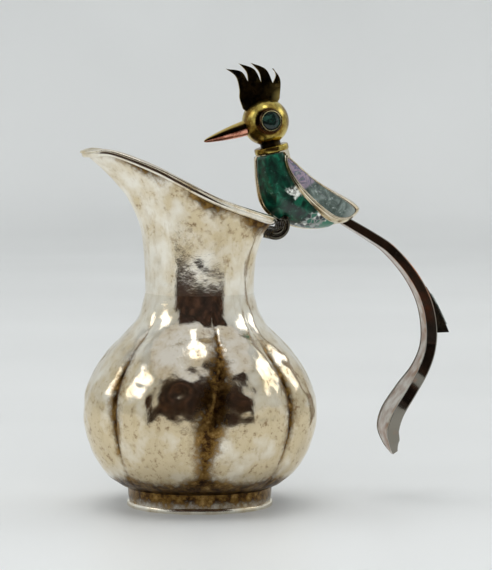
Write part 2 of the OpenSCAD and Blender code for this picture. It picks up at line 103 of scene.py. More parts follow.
# %% [markdown]
# ## Curves and skins
# Every piece is a grid of points: rows along it, columns round it. A grid comes from a formula
# of two numbers, worked out for all of its points at once, and one function turns it into a
# closed mesh. It also turns the skin's faces outwards, by the sign of the volume they enclose.

# %% Curves
def curve(points, steps):
    """The Catmull-Rom curve through the points: between two of them it is the cubic whose
    slope at each point is half the step from its neighbour before to its neighbour after."""
    p = np.asarray(points, float)
    flat = p.ndim == 1
    p = p[:, None] if flat else p
    q = np.vstack([2 * p[0] - p[1], p, 2 * p[-1] - p[-2]])
    a, b, c, d = (q[i:len(q) - 3 + i, None] for i in range(4))
    t = (np.arange(steps) / steps)[None, :, None]
    way = 0.5 * (2 * b + (c - a) * t + (2 * a - 5 * b + 4 * c - d) * t ** 2
                 + (3 * b - a - 3 * c + d) * t ** 3)
    way = np.vstack([way.reshape(-1, p.shape[1]), p[-1]])
    return way[:, 0] if flat else way


def along(line, share):
    """The point a share of the way along a list, by its index, for a whole array of shares."""
    line, share = np.asarray(line, float), np.clip(share, 0, 1)
    x = share * (len(line) - 1)
    i = np.minimum(x.astype(int), len(line) - 2)
    f = x - i
    if line.ndim > 1:
        f = f[..., None]
    return line[i] * (1 - f) + line[i + 1] * f


def even(line, count, closed=False):
    """The same line with its points an equal walk apart."""
    line = np.vstack([line, line[:1]]) if closed else line
    walk = np.concatenate([[0], np.cumsum(np.linalg.norm(np.diff(line, axis=0), axis=1))])
    at = np.linspace(0, walk[-1], count, endpoint=not closed)
    return np.stack([np.interp(at, walk, line[:, k]) for k in range(line.shape[1])], 1)


def blend_in(low, high, x):
    """0 below low, 1 above high, and the smooth step 3t^2 - 2t^3 between."""
    t = np.clip((x - low) / (high - low), 0, 1)
    return t * t * (3 - 2 * t)


# %% Skins
def outward(grid, around=True):
    """Unit normals of a grid: the cross product of its differences along columns and rows."""
    if around:
        across = np.roll(grid, -1, 1) - np.roll(grid, 1, 1)
    else:
        across = np.gradient(grid, axis=1)
    up = np.gradient(grid, axis=0)
    n = np.cross(across, up)
    return n / np.maximum(np.linalg.norm(n, axis=2, keepdims=True), 1e-9)


def skin_faces(rows, cols, start, around, ends):
    """Quads between neighbouring rows and columns, as numbers of vertices. Ends are poles,
    each closed by a fan to one point, or joined, where the last row meets the first."""
    r = np.arange(rows if ends == "joined" else rows - 1)[:, None]
    c = np.arange(cols if around else cols - 1)[None, :]
    r2, c2 = (r + 1) % rows, (c + 1) % cols
    quads = np.stack([r * cols + c, r * cols + c2, r2 * cols + c2, r2 * cols + c], 2)
    faces = (quads.reshape(-1, 4) + start).tolist()
    if ends == "poles":
        c = np.arange(cols)
        c2 = (c + 1) % cols
        low = np.stack([c2, c, np.full(cols, rows * cols)], 1) + start
        top = (rows - 1) * cols
        high = np.stack([top + c, top + c2, np.full(cols, rows * cols + 1)], 1) + start
        faces += low.tolist() + high.tolist()
    return faces


def flat_ends(grid, start):
    """Triangles over the first and the last row. Each is turned the way its own row runs, by the
    sign of its normal along the row's area vector, and the first row's are then turned over."""
    faces, (rows, cols) = [], grid.shape[:2]
    for row, base, way in ((grid[0], start, -1), (grid[-1], start + (rows - 1) * cols, 1)):
        tri = np.array(tessellate_polygon([[Vector(p) for p in row]]))
        area = np.cross(row, np.roll(row, -1, 0)).sum(0)
        a, b, c = (row[tri[:, i]] for i in range(3))
        turned_over = np.cross(b - a, c - a) @ area * way < 0
        tri[turned_over] = tri[turned_over][:, ::-1]
        faces += (tri + base).tolist()
    return faces


def surface(name, skins, slot, stands_for, crease=40, marks=None):
    """Makes one piece from a list of (grid in mm, ends). Each grid closes round its columns.
    marks is a dict of named lists of grids of numbers, one for each skin, for the material."""
    points, faces, extra = [], [], {key: [] for key in marks or {}}
    for k, (grid, ends) in enumerate(skins):
        rows, cols = grid.shape[:2]
        start = sum(len(p) for p in points)
        flat = grid.reshape(-1, 3)
        own = skin_faces(rows, cols, start, True, ends) + (flat_ends(grid, start) if ends == "flat" else [])
        poles = ends == "poles"
        if poles:
            flat = np.vstack([flat, grid[0].mean(0), grid[-1].mean(0)])
        fan = np.array([[f[0], f[i], f[i + 1]] for f in own for i in range(1, len(f) - 1)]) - start
        a, b, c = (flat[fan[:, i]] for i in range(3))
        if np.einsum("ij,ij->", a, np.cross(b, c)) < 0:
            own = [f[::-1] for f in own]
        points.append(flat)
        faces += own
        for key in extra:
            values = np.asarray(marks[key][k], float)
            values = np.broadcast_to(values, (rows, cols)).reshape(-1)
            extra[key].append(np.concatenate([values, values[[0, -1]]]) if poles else values)
    mesh = bpy.data.meshes.new(name)
    mesh.from_pydata(np.vstack(points) * MM, [], faces)
    mesh.shade_smooth()
    mesh.set_sharp_from_angle(angle=math.radians(crease))
    for key, parts in extra.items():
        layer = mesh.attributes.new(key, "FLOAT", "POINT")
        layer.data.foreach_set("value", np.concatenate(parts).astype(np.float32))
    piece = bpy.data.objects.new(name, mesh)
    bpy.context.collection.objects.link(piece)
    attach(piece, "root")
    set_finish(piece, slot)
    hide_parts(*stands_for)
    compare(piece, stands_for)
    return piece


def compare(piece, nodes):
    """Prints how far the piece's box stands outside the box of the nodes it replaces."""
    lows, highs = zip(*(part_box(n) for n in nodes))
    low, high = np.min(lows, 0) / MM, np.max(highs, 0) / MM
    co = np.array([v.co for v in piece.data.vertices]) / MM
    print(f"{piece.name}: {len(piece.data.polygons)} faces, out by",
          np.round(low - co.min(0), 2), np.round(co.max(0) - high, 2), "mm")


# %% [markdown]
# ## Bowl
# The bowl is a lathe profile whose radius is drawn in at eight grooves. A smith sets the grooves
# by eye with a blunt chisel, so they stand at slightly uneven angles and wander a little. The
# valley between two lobes is 1 minus a low power of a sine: round on the lobe, sharp in the
# groove. The angles are up to 7 degrees off an even eighth of a turn.

# %% Bowl sizes
sheet = 1.2
foot_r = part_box("foot_wire")[1].x / MM
foot_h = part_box("bowl")[0].z / MM + 3
throat_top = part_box("neck_spout")[0].z / MM
throat_z = throat_top - foot_h
bowl_r, throat_r, groove_depth = 43.9, 20.1, 2.4
belly = 29
belly_z = foot_h + belly
print("foot radius", round(foot_r, 2), "foot height", round(foot_h, 2), "throat", round(throat_top, 2))

# %% Bowl profile
span, top_span, over_belly = bowl_r - foot_r, bowl_r - throat_r, throat_top - belly_z
bowl_line = curve([
    [foot_r * 0.12, foot_h - 3], [foot_r * 0.65, foot_h - 2.25], [foot_r, foot_h - 0.6],
    [foot_r + 0.44 * span, foot_h + 0.14 * belly], [foot_r + 0.78 * span, foot_h + 0.42 * belly],
    [foot_r + 0.97 * span, foot_h + 0.75 * belly], [bowl_r, belly_z],
    [throat_r + 0.93 * top_span, belly_z + 0.20 * over_belly],
    [throat_r + 0.62 * top_span, belly_z + 0.48 * over_belly],
    [throat_r + 0.17 * top_span, belly_z + 0.75 * over_belly],
    [throat_r, throat_top], [throat_r, throat_top + 9]], 24)[:-24]
groove_angles = np.radians([-14, 24, 69, 114, 166, 209, 259, 306, 346])


def valley(angle, z):
    """How far into a groove a point is, 0 to 1: 1 - |sin|^0.5 of the way between two grooves.
    The groove that faces forwards leans, by a shift that dies away on both sides of it."""
    lean = np.exp(-((np.degrees(angle) - 262) / 24) ** 2)
    shift = lean * (0.24 * np.clip((z - foot_h) / 55, 0, 1) - 0.06)
    shift = shift + 0.02 * np.sin(z / 9 + 3 * angle)
    phase = np.interp((angle - shift + 0.2443) % (2 * np.pi) - 0.2443, groove_angles, np.arange(9))
    return 1 - np.abs(np.sin(np.pi * phase)) ** 0.5


def groove_share(z):
    """How deep the grooves are at a height: the 0.75th power of half a sine wave."""
    u = np.clip((z - foot_h) / (throat_z - 4), 0, 1)
    return np.sin(np.pi * u) ** 0.75


# %% [markdown]
# ## Hammer marks
# Planishing leaves round, shallow marks that overlap. Each blow is a bump function, a square of
# 1 - (d / radius)^2, and the surface goes in by the sum of the blows. They are modelled, because
# a mirror finish shows their slopes in every reflection. Tall marks run up the neck, where the
# smith worked along a stake.

# %% Blows
def blows(points, centres, radii, depths, stretch=1.0):
    """Sum over blows of depth * (1 - (d / radius)^2)^2. Heights count less where stretched."""
    scale = np.array([1, 1, 1 / stretch])
    p, c = (points.reshape(-1, 3) * scale).astype(np.float32), (centres * scale).astype(np.float32)
    out = np.empty(len(p), np.float32)
    for i in range(0, len(p), 8192):
        part = p[i:i + 8192]
        d2 = (part ** 2).sum(1)[:, None] + (c ** 2).sum(1)[None] - 2 * part @ c.T
        out[i:i + 8192] = np.clip(1 - d2 / radii ** 2, 0, 1) ** 2 @ depths
    return out.reshape(points.shape[:-1])


rng = np.random.default_rng(7)


def random_blows(grid, count, radius, depth):
    """Blows at random points of a grid, each with a radius and a depth of its own. A row is hit
    in proportion to its distance from the axis, so wide rows get no fewer marks than narrow ones."""
    flat = grid.reshape(-1, 3)
    area = np.repeat(np.linalg.norm(grid[:, 0, :2], axis=1), grid.shape[1])
    centres = flat[rng.choice(len(flat), count, p=area / area.sum())]
    radii = rng.uniform(*radius, count).astype(np.float32)
    return centres, radii, (rng.uniform(*depth, count)).astype(np.float32)


# %% Bowl skin
BOWL_COLS = 420
profile = even(bowl_line, 165)
angle = np.linspace(0, 2 * np.pi, BOWL_COLS, endpoint=False)[None, :]


def bowl_skin(line, groove_from):
    """Radius at angle a and height z: the profile's radius, less the groove depth times how deep
    grooves are at z times the valley at a. A slow wave of 0.3 mm makes the lobes unequal."""
    r, z = line[:, :1], line[:, 1:]
    gz = groove_from[:, 1:]
    r = r - groove_depth * groove_share(gz) * valley(angle, gz)
    r = r + 0.3 * groove_share(gz) * np.sin(3 * angle + gz / 17) * np.sin(gz / 13)
    return np.stack([r * np.cos(angle), r * np.sin(angle), z + 0 * angle], 2)


outer = bowl_skin(profile, profile)
step = np.gradient(profile, axis=0)
side = np.stack([step[:, 1], -step[:, 0]], 1) / np.linalg.norm(step, axis=1)[:, None]
inner_line = profile - side * sheet
inner_line[-1] = profile[-1] - [sheet, 0]
inner = bowl_skin(inner_line[::-3], profile[::-3])
print("bowl grid", outer.shape, "inside", inner.shape)

# %% [markdown]
# ## Neck and spout
# The neck starts as the throat's circle and ends as the mouth, a pointed oval in plan whose rim
# climbs from the back to the spout. A point a share v of the way up has moved from circle to
# mouth by a power of v: 3.1 at back and spout, where the neck stays upright and flares late,
# and 1.7 at the sides.

# %% Mouth and rim lines
back_reach, spout_reach, mouth_half = 27.2, 44.6, 25.6
back_rise, spout_rise = 27.6, 53
mouth_line = curve([
    [back_reach, 0], [back_reach * 0.985, mouth_half * 0.2], [back_reach * 0.82, mouth_half * 0.70],
    [0, mouth_half],
    [-spout_reach * 0.42, mouth_half * 0.80], [-spout_reach * 0.72, mouth_half * 0.49],
    [-spout_reach * 0.92, mouth_half * 0.25], [-spout_reach, 0]], 24)
mouth_back_z, mouth_rise = throat_top + back_rise, spout_rise - back_rise
rim_line = curve([
    [-back_reach, mouth_back_z], [-back_reach * 0.67, mouth_back_z + 0.10 * mouth_rise],
    [0, mouth_back_z + 0.347 * mouth_rise], [spout_reach * 0.46, mouth_back_z + 0.768 * mouth_rise],
    [spout_reach * 0.80, mouth_back_z + 1.0 * mouth_rise],
    [spout_reach, mouth_back_z + 0.98 * mouth_rise]], 12)
NECK_COLS = 420


def mouth_plan(cols):
    """The mouth's outline in plan, out to the spout on one side and home on the other."""
    u = np.arange(cols) / cols
    half = np.where(u <= 0.5, 2 * u, 2 - 2 * u)
    p = along(mouth_line, half)
    p[:, 1] *= np.where(u <= 0.5, 1, -1)
    return p


mouth = mouth_plan(NECK_COLS)
turn = np.arctan2(mouth[:, 1], mouth[:, 0])
flare = (3.1 - 1.4 * np.sin(turn) ** 2)[None, :]
throat = throat_r * np.stack([np.cos(turn), np.sin(turn)], 1)
rim_z = np.interp(-mouth[:, 0], rim_line[:, 0], rim_line[:, 1])


def wall(v):
    """The neck's outer face at shares v of the way up, an array of rows by columns: circle to
    mouth by v to the flare's power in plan, and from throat to rim in step with v in height."""
    v = np.broadcast_to(v, (v.shape[0], NECK_COLS))
    k = (v ** flare)[..., None]
    plan = throat + (mouth - throat) * k
    z = throat_top + (rim_z - throat_top) * v
    return np.concatenate([plan, z[..., None]], 2)


band_h, band_t = 3.4, 1.2
last = np.linalg.norm((wall(np.array([[1.0]])) - wall(np.array([[0.93]])))[0], axis=1)
band_from = 1 - band_h / last * 0.07
neck_v = np.linspace(0, 1, 96)[:, None]
neck_out = wall(neck_v * np.ones((1, NECK_COLS)))
radius = np.linalg.norm(neck_out[..., :2], axis=2, keepdims=True)
neck_in = neck_out.copy()
neck_in[..., :2] *= 1 - sheet / radius
neck_in = neck_in[::-3]
print("neck grid", neck_out.shape, "rim from", rim_z.min().round(1), "to", rim_z.max().round(1))

# %% Hammered bowl and neck
marks_bowl = random_blows(outer[20:], 900, (2.8, 5.4), (0.07, 0.20))
marks_neck = random_blows(neck_out, 420, (2.2, 4.2), (0.04, 0.12))
fine_bowl = random_blows(outer[20:], 2600, (1.2, 2.2), (0.006, 0.022))
fine_neck = random_blows(neck_out, 1800, (1.0, 1.8), (0.006, 0.024))


def hammered(grid):
    """The grid moved in along its normals by the sum of the blows."""
    depth = blows(grid, *marks_bowl) + blows(grid, *marks_neck, stretch=2.2)
    depth = depth + blows(grid, *fine_bowl) + blows(grid, *fine_neck, stretch=1.8)
    n = outward(grid)
    if np.einsum("ijk,ijk->", n[..., :2], grid[..., :2]) < 0:
        n = -n
    return grid - n * (depth - depth.mean())[..., None]


outer_made = hammered(outer)
outer_made[-1] = outer[-1]
neck_made = hammered(neck_out)
neck_made[0] = neck_out[0]
join = blend_in(0, 0.3, neck_v)[..., None]
neck_made = neck_out + (neck_made - neck_out) * join
fade = blend_in(throat_top, throat_top - 11, outer[..., 2:])
outer_made = outer + (outer_made - outer) * fade

groove_mark = valley(angle, profile[:, 1:]) * groove_share(profile[:, 1:])
foot_mark = np.exp(-((profile[:, 1:] - foot_h) / 5.5) ** 2) + 0 * angle
# Painted shade with tarnish: the neck turns brown just under the strip, partly tarnish in the join and partly
# the strip's shade, and a little more brown towards the back.
band_tarnish_and_shade = np.exp(-((1 - neck_v) * last * 11 / 6.5) ** 2) * (0.75 + 0.25 * np.sin(7 * turn + 1))
band_tarnish_and_shade = band_tarnish_and_shade + 0.22 * np.cos(turn / 2) ** 2
front = np.exp(-((np.degrees(angle) - 262) / 22) ** 2)
tarnish_bowl = np.clip(groove_mark ** (1.0 - 0.4 * front) * (1.05 + 0.2 * front) + foot_mark, 0, 1)
film_bowl = blend_in(66, 34, profile[:, 1:]) * (0.85 + 0.15 * np.sin(5 * angle))
film_bowl = film_bowl + 0.15 * np.cos(angle) ** 4
film_neck = (0.03 + 0.65 * np.cos((turn + 1.0) / 2) ** 4) * blend_in(0.1, 0.5, neck_v)
surface("bowl_wall", [(np.vstack([outer_made, inner]), "poles")], "hammered_silver", ["bowl"],
        marks={"tarnish": [np.vstack([tarnish_bowl, 0.25 + 0 * inner[..., 0]])],
               "film": [np.vstack([film_bowl, 0.5 + 0 * inner[..., 0]])]})
# The neck's tarnish mark paints shade under the strip as well as tarnish.
surface("neck_wall", [(np.vstack([neck_made, neck_in]), "joined")], "hammered_silver",
        ["neck_spout"], marks={"tarnish": [np.vstack([band_tarnish_and_shade, 0.3 + 0 * neck_in[..., 0]])],
                           "film": [np.vstack([film_neck, 0.4 + 0 * neck_in[..., 0]])]})

# %% [markdown]
# ## Rim strip
# A half-round strip is soldered round the outside of the mouth, with a fine lip above it. It is
# a profile carried along the mouth: each point is a share of the way from the strip's foot to
# the rim, and a distance out from the wall.

# %% Rim strip
rim_row = wall(np.ones((1, NECK_COLS)))[0]
foot_row = wall(band_from[None, :])[0]
tangent = np.roll(rim_row, -1, 0) - np.roll(rim_row, 1, 0)
out = np.cross(tangent, rim_row - foot_row)
out /= np.linalg.norm(out, axis=1, keepdims=True)
s = np.linspace(0, 1, 15)
strip = [[a * 0.80, 0.05 + 1.15 * math.sin(math.pi * min(max(a, 0.02), 0.98)) ** 0.55] for a in s]
strip += [[0.83, 0.30], [0.86, 0.62], [0.92, 0.72], [0.98, 0.62], [1.0, 0.3]]
strip = np.array([[0.0, -0.1]] + strip + [[1.0, -0.25], [0.5, -0.25]])
wave = 1 + 0.05 * np.sin(np.arange(NECK_COLS) / 7.0)[None, :, None]
rim_grid = foot_row[None] + (rim_row - foot_row)[None] * strip[:, :1, None] \
    + out[None] * strip[:, 1:, None] * wave
surface("rim_strip", [(rim_grid, "joined")], "silver_trim", ["rim_band"], crease=50,
        marks={"tarnish": [(strip[:, :1] < 0.06) * 0.9 + 0.15 + 0 * rim_grid[..., 0]]})

# %% [markdown]
# ## Foot
# The foot is a low ring under the bowl with a strip round its lower edge. Both were bent and
# soldered by hand, so the strip's upper edge is a little wavy.

# %% Foot
FOOT_COLS = 256
around = np.linspace(0, 2 * np.pi, FOOT_COLS, endpoint=False)[None, :]


def lathe(line, wobble=0.0, cols=around):
    """A profile turned round the Z axis; wobble adds slow waves to its radius."""
    r, z = np.asarray(line, float).T[:, :, None]
    r = r + wobble * (np.sin(5 * cols + 1) + 0.6 * np.sin(11 * cols)) / 1.6
    return np.stack([r * np.cos(cols), r * np.sin(cols), z + 0 * cols], 2)


inside = foot_r - sheet - 0.6
ring_line = curve([[inside, 0.02], [foot_r - 0.9, 0.02], [foot_r - 0.75, 1.9], [foot_r - 0.62, 3.2],
                   [foot_r - 0.5, foot_h * 0.55], [foot_r - 0.35, foot_h - 1.6],
                   [foot_r - 0.3, foot_h - 0.7], [inside, foot_h - 1.0]], 5)
ring_line[:, 1] = np.maximum(ring_line[:, 1], 0.02)
ring_grid = lathe(ring_line, 0.10)
surface("foot_ring_wall", [(ring_grid, "joined")], "hammered_silver", ["foot_ring"],
        marks={"tarnish": [0.55 + 0.45 * blend_in(1.5, 7, ring_grid[..., 2])]})
wire_line = np.array([[foot_r - 0.85, 0.0], [foot_r - 0.25, 0.0], [foot_r - 0.05, 0.25],
                      [foot_r, 0.7], [foot_r - 0.02, 1.2], [foot_r - 0.12, 1.6],
                      [foot_r - 0.35, 1.85], [foot_r - 0.85, 1.9]])
wire_grid = lathe(wire_line)
rise = wire_grid[..., 2] / 1.9
wire_grid[..., 2] += rise * 0.10 * np.sin(4 * around + 2) + rise * 0.06 * np.sin(9 * around)
surface("foot_strip", [(wire_grid, "joined")], "silver_trim", ["foot_wire"],
        marks={"tarnish": [0.25 + 0 * wire_grid[..., 0]]})

# %% [markdown]
# ## The bird's body
# The body stands between a breast line and a back line in the plane of symmetry, with oval ribs
# between them. Its stones are plates of one thickness on the same ribs, further out by the
# thickness, so they need the same formula with one more number.

# %% Body
perch = np.array([back_reach + band_t + 0.6, 0, mouth_back_z - 1.2])
lean = math.radians(13)
lean_up = np.array([-math.sin(lean), math.cos(lean)])
lean_across = np.array([math.cos(lean), math.sin(lean)])
collar_r, collar_h, head_r = 6.4, 2.3, 8.7
body_half, tail_half, blade_half, tail_t = 7.7, 4.1, 8.2, 4.2
collar_at = np.array([-1.5, 26.3])
collar_seat = collar_at - lean_up * collar_h / 2
head_at = collar_at + lean_up * (collar_h / 2 + head_r + 0.5)
neck_half = collar_r - 0.3
breast_line = curve([collar_seat - lean_across * neck_half, [-6.7, 14.3], [-4.6, 5.8], [1, 0.5],
                     [9, -2.4], [17, -2.8], [27.3, -1.2]], 12)
back_line = curve([collar_seat + lean_across * neck_half, [7.2, 19.2], [11.8, 14.2], [16.3, 10.4],
                   [20.8, 7.4], [24.8, 5.2], [29, 1.8]], 12)
rib_half = curve(np.array([neck_half, body_half * 0.90, body_half * 0.98, body_half,
                           body_half * 0.92, body_half * 0.70, tail_half * 0.75]), 12)


def body(u, a, d):
    """The body at a share u from collar to tail, an angle a round the rib (0 on the breast, half
    a turn on the back), d outside: half way between the lines, less cos a of half their distance
    in the plane, and sin a of the half width to the side."""
    low, high = along(breast_line, u), along(back_line, u)
    h = (high - low) / 2
    size = np.linalg.norm(h, axis=-1, keepdims=True)
    g = (low + high) / 2 - h / size * np.cos(a)[..., None] * (size + d[..., None])
    y = np.sin(a) * (along(rib_half, u) + d)
    return perch + np.stack([g[..., 0], y, g[..., 1]], -1)


u, a = np.meshgrid(np.linspace(0, 1, 60), np.linspace(0, 2 * np.pi, 72, endpoint=False), indexing="ij")
surface("bird_torso", [(body(u, a, 0 * u), "poles")], "bird_silver", ["bird_body"], crease=60)


def shell(u_from, u_to, a_from, a_to, thick, rows, cols, side=1.0, lift=0.1):
    """A plate on the body: out across its face, round the edge and back underneath. Its face
    falls to the edge by the square root of a quarter circle within 0.5 mm."""
    uu, aa = np.meshgrid(np.linspace(u_from, u_to, rows), np.linspace(a_from, a_to, cols), indexing="ij")
    edge_u = np.minimum(uu - u_from, u_to - uu) / (1 / 60)
    edge_a = np.minimum(aa - a_from, a_to - aa) / math.radians(9)
    edge = np.clip(np.minimum(edge_u, edge_a), 0, 1)
    top = body(uu, aa, lift + thick * (0.35 + 0.65 * np.sqrt(1 - (1 - edge) ** 2)))
    under = body(uu, aa, 0 * uu + lift)
    grid = np.concatenate([top, under[:, ::-1]], 1)
    grid[..., 1] *= side
    return grid, np.concatenate([uu, uu[:, ::-1]], 1) * 18, np.concatenate([aa, aa[:, ::-1]], 1)


grid, rib, turn_at = shell(0.09 / 18, 16 / 18, -math.radians(12.9), math.radians(12.9), 0.9, 70, 14)
surface("breast_edge", [(grid, "poles")], "bird_silver", ["breast_strip"], crease=50)
for side, hand in ((1, "right"), (-1, "left")):
    grid, rib, turn_at = shell(0.09 / 18, 16.2 / 18, math.radians(13.8), math.radians(112), 0.8,
                               120, 64, side)
    surface(f"inlay_{hand}", [(grid, "poles")], "malachite_deep",
            [f"{n}_{hand}" for n in ("breast_stone", "flank_stone", "chip_mosaic", "belly_stone")],
            crease=60, marks={"rib": [rib], "turn": [np.degrees(turn_at)]})

# %% [markdown]
# ## Wings
# Each wing is a shallow silver tray with a sloping rim, a raised edge wire and two stones ground
# nearly level with it. All of its pieces are rings of one outline, drawn in by a width and lifted
# by a height, so they follow each other exactly.

# %% Wing outline
wing_l, wing_d, bevel, widest = 36.7, 10.6, 1.1, 0.69
wing_at, wing_lift = (1.6, 25.4), body_half - 3.1
wing_fall, wing_tilt = math.radians(37.8), math.radians(14)
t = (1 - np.cos(np.linspace(0, np.pi, 90))) / 2
depth = wing_d * np.where(t < widest, np.sqrt(np.abs(np.sin(np.pi / 2 * t / widest))),
                          np.sqrt(np.clip(1 - (np.maximum(t - widest, 0) / (1 - widest)) ** 2.6, 0, 1)))
upper = curve([[wing_l, 0.0], [wing_l * 0.98, 1.2], [wing_l * 0.85, 1.4], [wing_l * 0.45, -0.8], [0, 0]], 8)
outline = even(np.vstack([np.stack([wing_l * t, -depth], 1), upper[1:-1]]), 180, closed=True)
wing_centre = np.array([wing_l * 0.56, -wing_d * 0.46])


def wing_rings(rings, side, flush=0.0):
    """Rings of (drawn in by, height) as points: the outline shrunk towards the wing's middle,
    lifted, then turned onto the body by the wing's tilt and fall. Along the upper edge, heights
    over 1.9 mm are cut by the flush share."""
    w, h = np.asarray(rings, float).T
    upper = blend_in(-3.5, -1.0, outline[:, 1]) * blend_in(5, 9, outline[:, 0])
    k = np.stack([1 - 2 * w / wing_l, 1 - 2 * w / wing_d], 1)[:, None]
    flat = wing_centre + (outline - wing_centre)[None] * k
    x, y = flat[..., 0], flat[..., 1]
    z = -h[:, None] + np.maximum(h - 1.9, 0)[:, None] * upper[None] * flush
    c, s = math.cos(math.pi / 2 + wing_tilt), math.sin(math.pi / 2 + wing_tilt)
    y, z = y * c - z * s, y * s + z * c
    c, s = math.cos(wing_fall), math.sin(wing_fall)
    x, z = x * c + z * s, -x * s + z * c
    return np.stack([x + perch[0] + wing_at[0], side * (y + wing_lift), z + perch[2] + wing_at[1]], 2)


def dome(w_from, h_low, h_edge, crown, rings=12):
    """Rings of a plate: up its side, over a rounded edge, and in to a slightly domed middle."""
    inset = np.linspace(0, 1, rings)
    return [[w_from, h_low]] + [[w_from + 3.2 * i, h_edge + crown * (1 - (1 - i) ** 2)] for i in inset]


for side, hand in ((1, "right"), (-1, "left")):
    tray = [[4.2, 0.0], [0.4, 0.0], [0.12, 0.12], [0.0, 0.4], [0.05, 0.8], [0.4, 1.45], [0.85, 2.1],
            [bevel, 2.45], [bevel + 0.10, 2.5], [bevel + 0.16, 2.3], [bevel + 0.2, 1.85], [4.2, 1.85]]
    surface(f"wing_tray_{hand}_shell", [(wing_rings(tray, side), "poles")], "bird_silver",
            [f"wing_tray_{hand}"], crease=50)
    wire = [[1.28, 1.9], [1.26, 3.0], [1.34, 3.2], [1.5, 3.3], [1.7, 3.3], [1.88, 3.2],
            [1.96, 3.0], [1.96, 1.9]]
    surface(f"wing_wire_{hand}", [(wing_rings(wire, side, 0.45), "joined")], "bird_silver",
            [f"wing_edge_{hand}"], crease=60)
    plate = dome(2.02, 1.87, 2.78, 0.22)
    grid = wing_rings(plate, side)
    drawn_in = 2 * np.array(plate)[:, :1] / [wing_l, wing_d]
    where = wing_centre + (outline - wing_centre)[None] * (1 - drawn_in)[:, None]
    surface(f"wing_stones_{hand}", [(grid, "poles")], "malachite_pale",
            [f"wing_abalone_{hand}", f"wing_malachite_{hand}"], crease=60,
            marks={"wing_x": [where[..., 0]], "wing_y": [where[..., 1]]})

# %% [markdown]
# ## Collar and head
# The head is two brass domes soldered along the bird's plane of symmetry, with a fine seam. A
# short tube holds each eye stone. All are lathe profiles on axes of their own.

# %% Turned pieces
def turned(line, origin, axis, cols=128):
    """A profile of (radius, height) turned round an axis through the origin."""
    axis = np.asarray(axis, float) / np.linalg.norm(axis)
    first = np.cross([0, 1, 0] if abs(axis[1]) < 0.9 else [1, 0, 0], axis)
    first /= np.linalg.norm(first)
    second = np.cross(axis, first)
    angle = np.linspace(0, 2 * np.pi, cols, endpoint=False)
    r, h = np.asarray(line, float).T
    ring = first[None] * np.cos(angle)[:, None] + second[None] * np.sin(angle)[:, None]
    return origin + r[:, None, None] * ring[None] + (h[:, None] * axis)[:, None]


def at(p):
    """A place in the bird's plane of symmetry."""
    return perch + np.array([p[0], 0, p[1]])


up = np.array([lean_up[0], 0, lean_up[1]])
tube_r = collar_r - 2.6
collar_line = [[tube_r + 0.02, 0.1], [tube_r + 0.3, 0], [collar_r - 0.35, 0], [collar_r - 0.1, 0.2],
               [collar_r, 0.6], [collar_r, collar_h - 0.6], [collar_r - 0.12, collar_h - 0.2],
               [collar_r - 0.4, collar_h], [tube_r + 0.4, collar_h], [tube_r + 0.05, collar_h - 0.3]]
surface("collar_ring", [(turned(collar_line, at(collar_seat), up), "joined")], "polished_brass",
        ["collar"], crease=50)

head = at(head_at)
lat, lon = np.meshgrid(np.linspace(-math.pi / 2, math.pi / 2, 98)[1:-1],
                       np.linspace(0, 2 * np.pi, 160, endpoint=False), indexing="ij")
ball = np.stack([np.cos(lat) * np.cos(lon), np.sin(lat), np.cos(lat) * np.sin(lon)], 2)
seam = 1 - 0.010 * np.exp(-(ball[..., 1] * head_r / 0.14) ** 2)

eye_at, bezel_r, bezel_wall = (-0.3, 0.5), 4.2, 0.8
# The mark made from from_eye paints the eye tube's shade and reflection on the head: a dark brown ring round
# each eye, set a little off the tube's centre.
from_eye = np.hypot(ball[..., 0] * head_r - eye_at[0] + 0.35, ball[..., 2] * head_r - eye_at[1] + 0.3)
surface("head_ball", [(head + head_r * ball * seam[..., None], "poles")], "polished_brass",
        ["head_left", "head_right"], marks={"eye_shade_and_reflection": [blend_in(5.3, 4.7, from_eye)]})
rim_bright = np.array([0, 0, 0, 0, 0, 0.2, 0.9, 1.0, 1.0, 0.6, 0])[:, None]
bezel_to = head_r + 1.1
stone_r = bezel_r - bezel_wall - 0.03
bezel_line = [[stone_r - 0.9, 6.4], [bezel_r, 6.4], [bezel_r + 0.02, 7.6], [bezel_r, bezel_to - 0.5],
              [bezel_r - 0.08, bezel_to - 0.2], [bezel_r - 0.3, bezel_to], [bezel_r - 0.5, bezel_to],
              [stone_r + 0.1, bezel_to - 0.2], [stone_r + 0.02, bezel_to - 0.5], [stone_r, 7.0],
              [stone_r - 0.9, 7.0]]
dome_up = 1.1
quarter = math.pi / 2 * np.linspace(1, 0, 16)[:-1]
stone_line = [[stone_r - 0.6, 7.02], [stone_r - 0.01, 7.02], [stone_r - 0.01, bezel_to - 0.75]]
stone_line += [[(stone_r - 0.01) * math.sin(k), bezel_to - 0.75 + dome_up * math.cos(k)]
               for k in quarter]
for side, hand in ((1, "right"), (-1, "left")):
    eye = head + np.array([eye_at[0], 0, eye_at[1]])
    surface(f"eye_tube_{hand}", [(turned(bezel_line, eye, [0, side, 0]), "joined")],
            "eye_bezel_metal", [f"eye_bezel_{hand}"], crease=50,
            marks={"edge": [rim_bright + np.zeros((11, 128))]})
    surface(f"eye_dome_{hand}", [(turned(stone_line, eye, [0, side, 0]), "poles")],
            "eye_cabochon", [f"eye_stone_{hand}"], crease=60)

# %% [markdown]
# ## Beak
# The beak is a slightly arched taper in two halves, dark brass above and copper below. Each half
# is a half circle that shrinks along the beak, closed by the flat face where the halves meet.

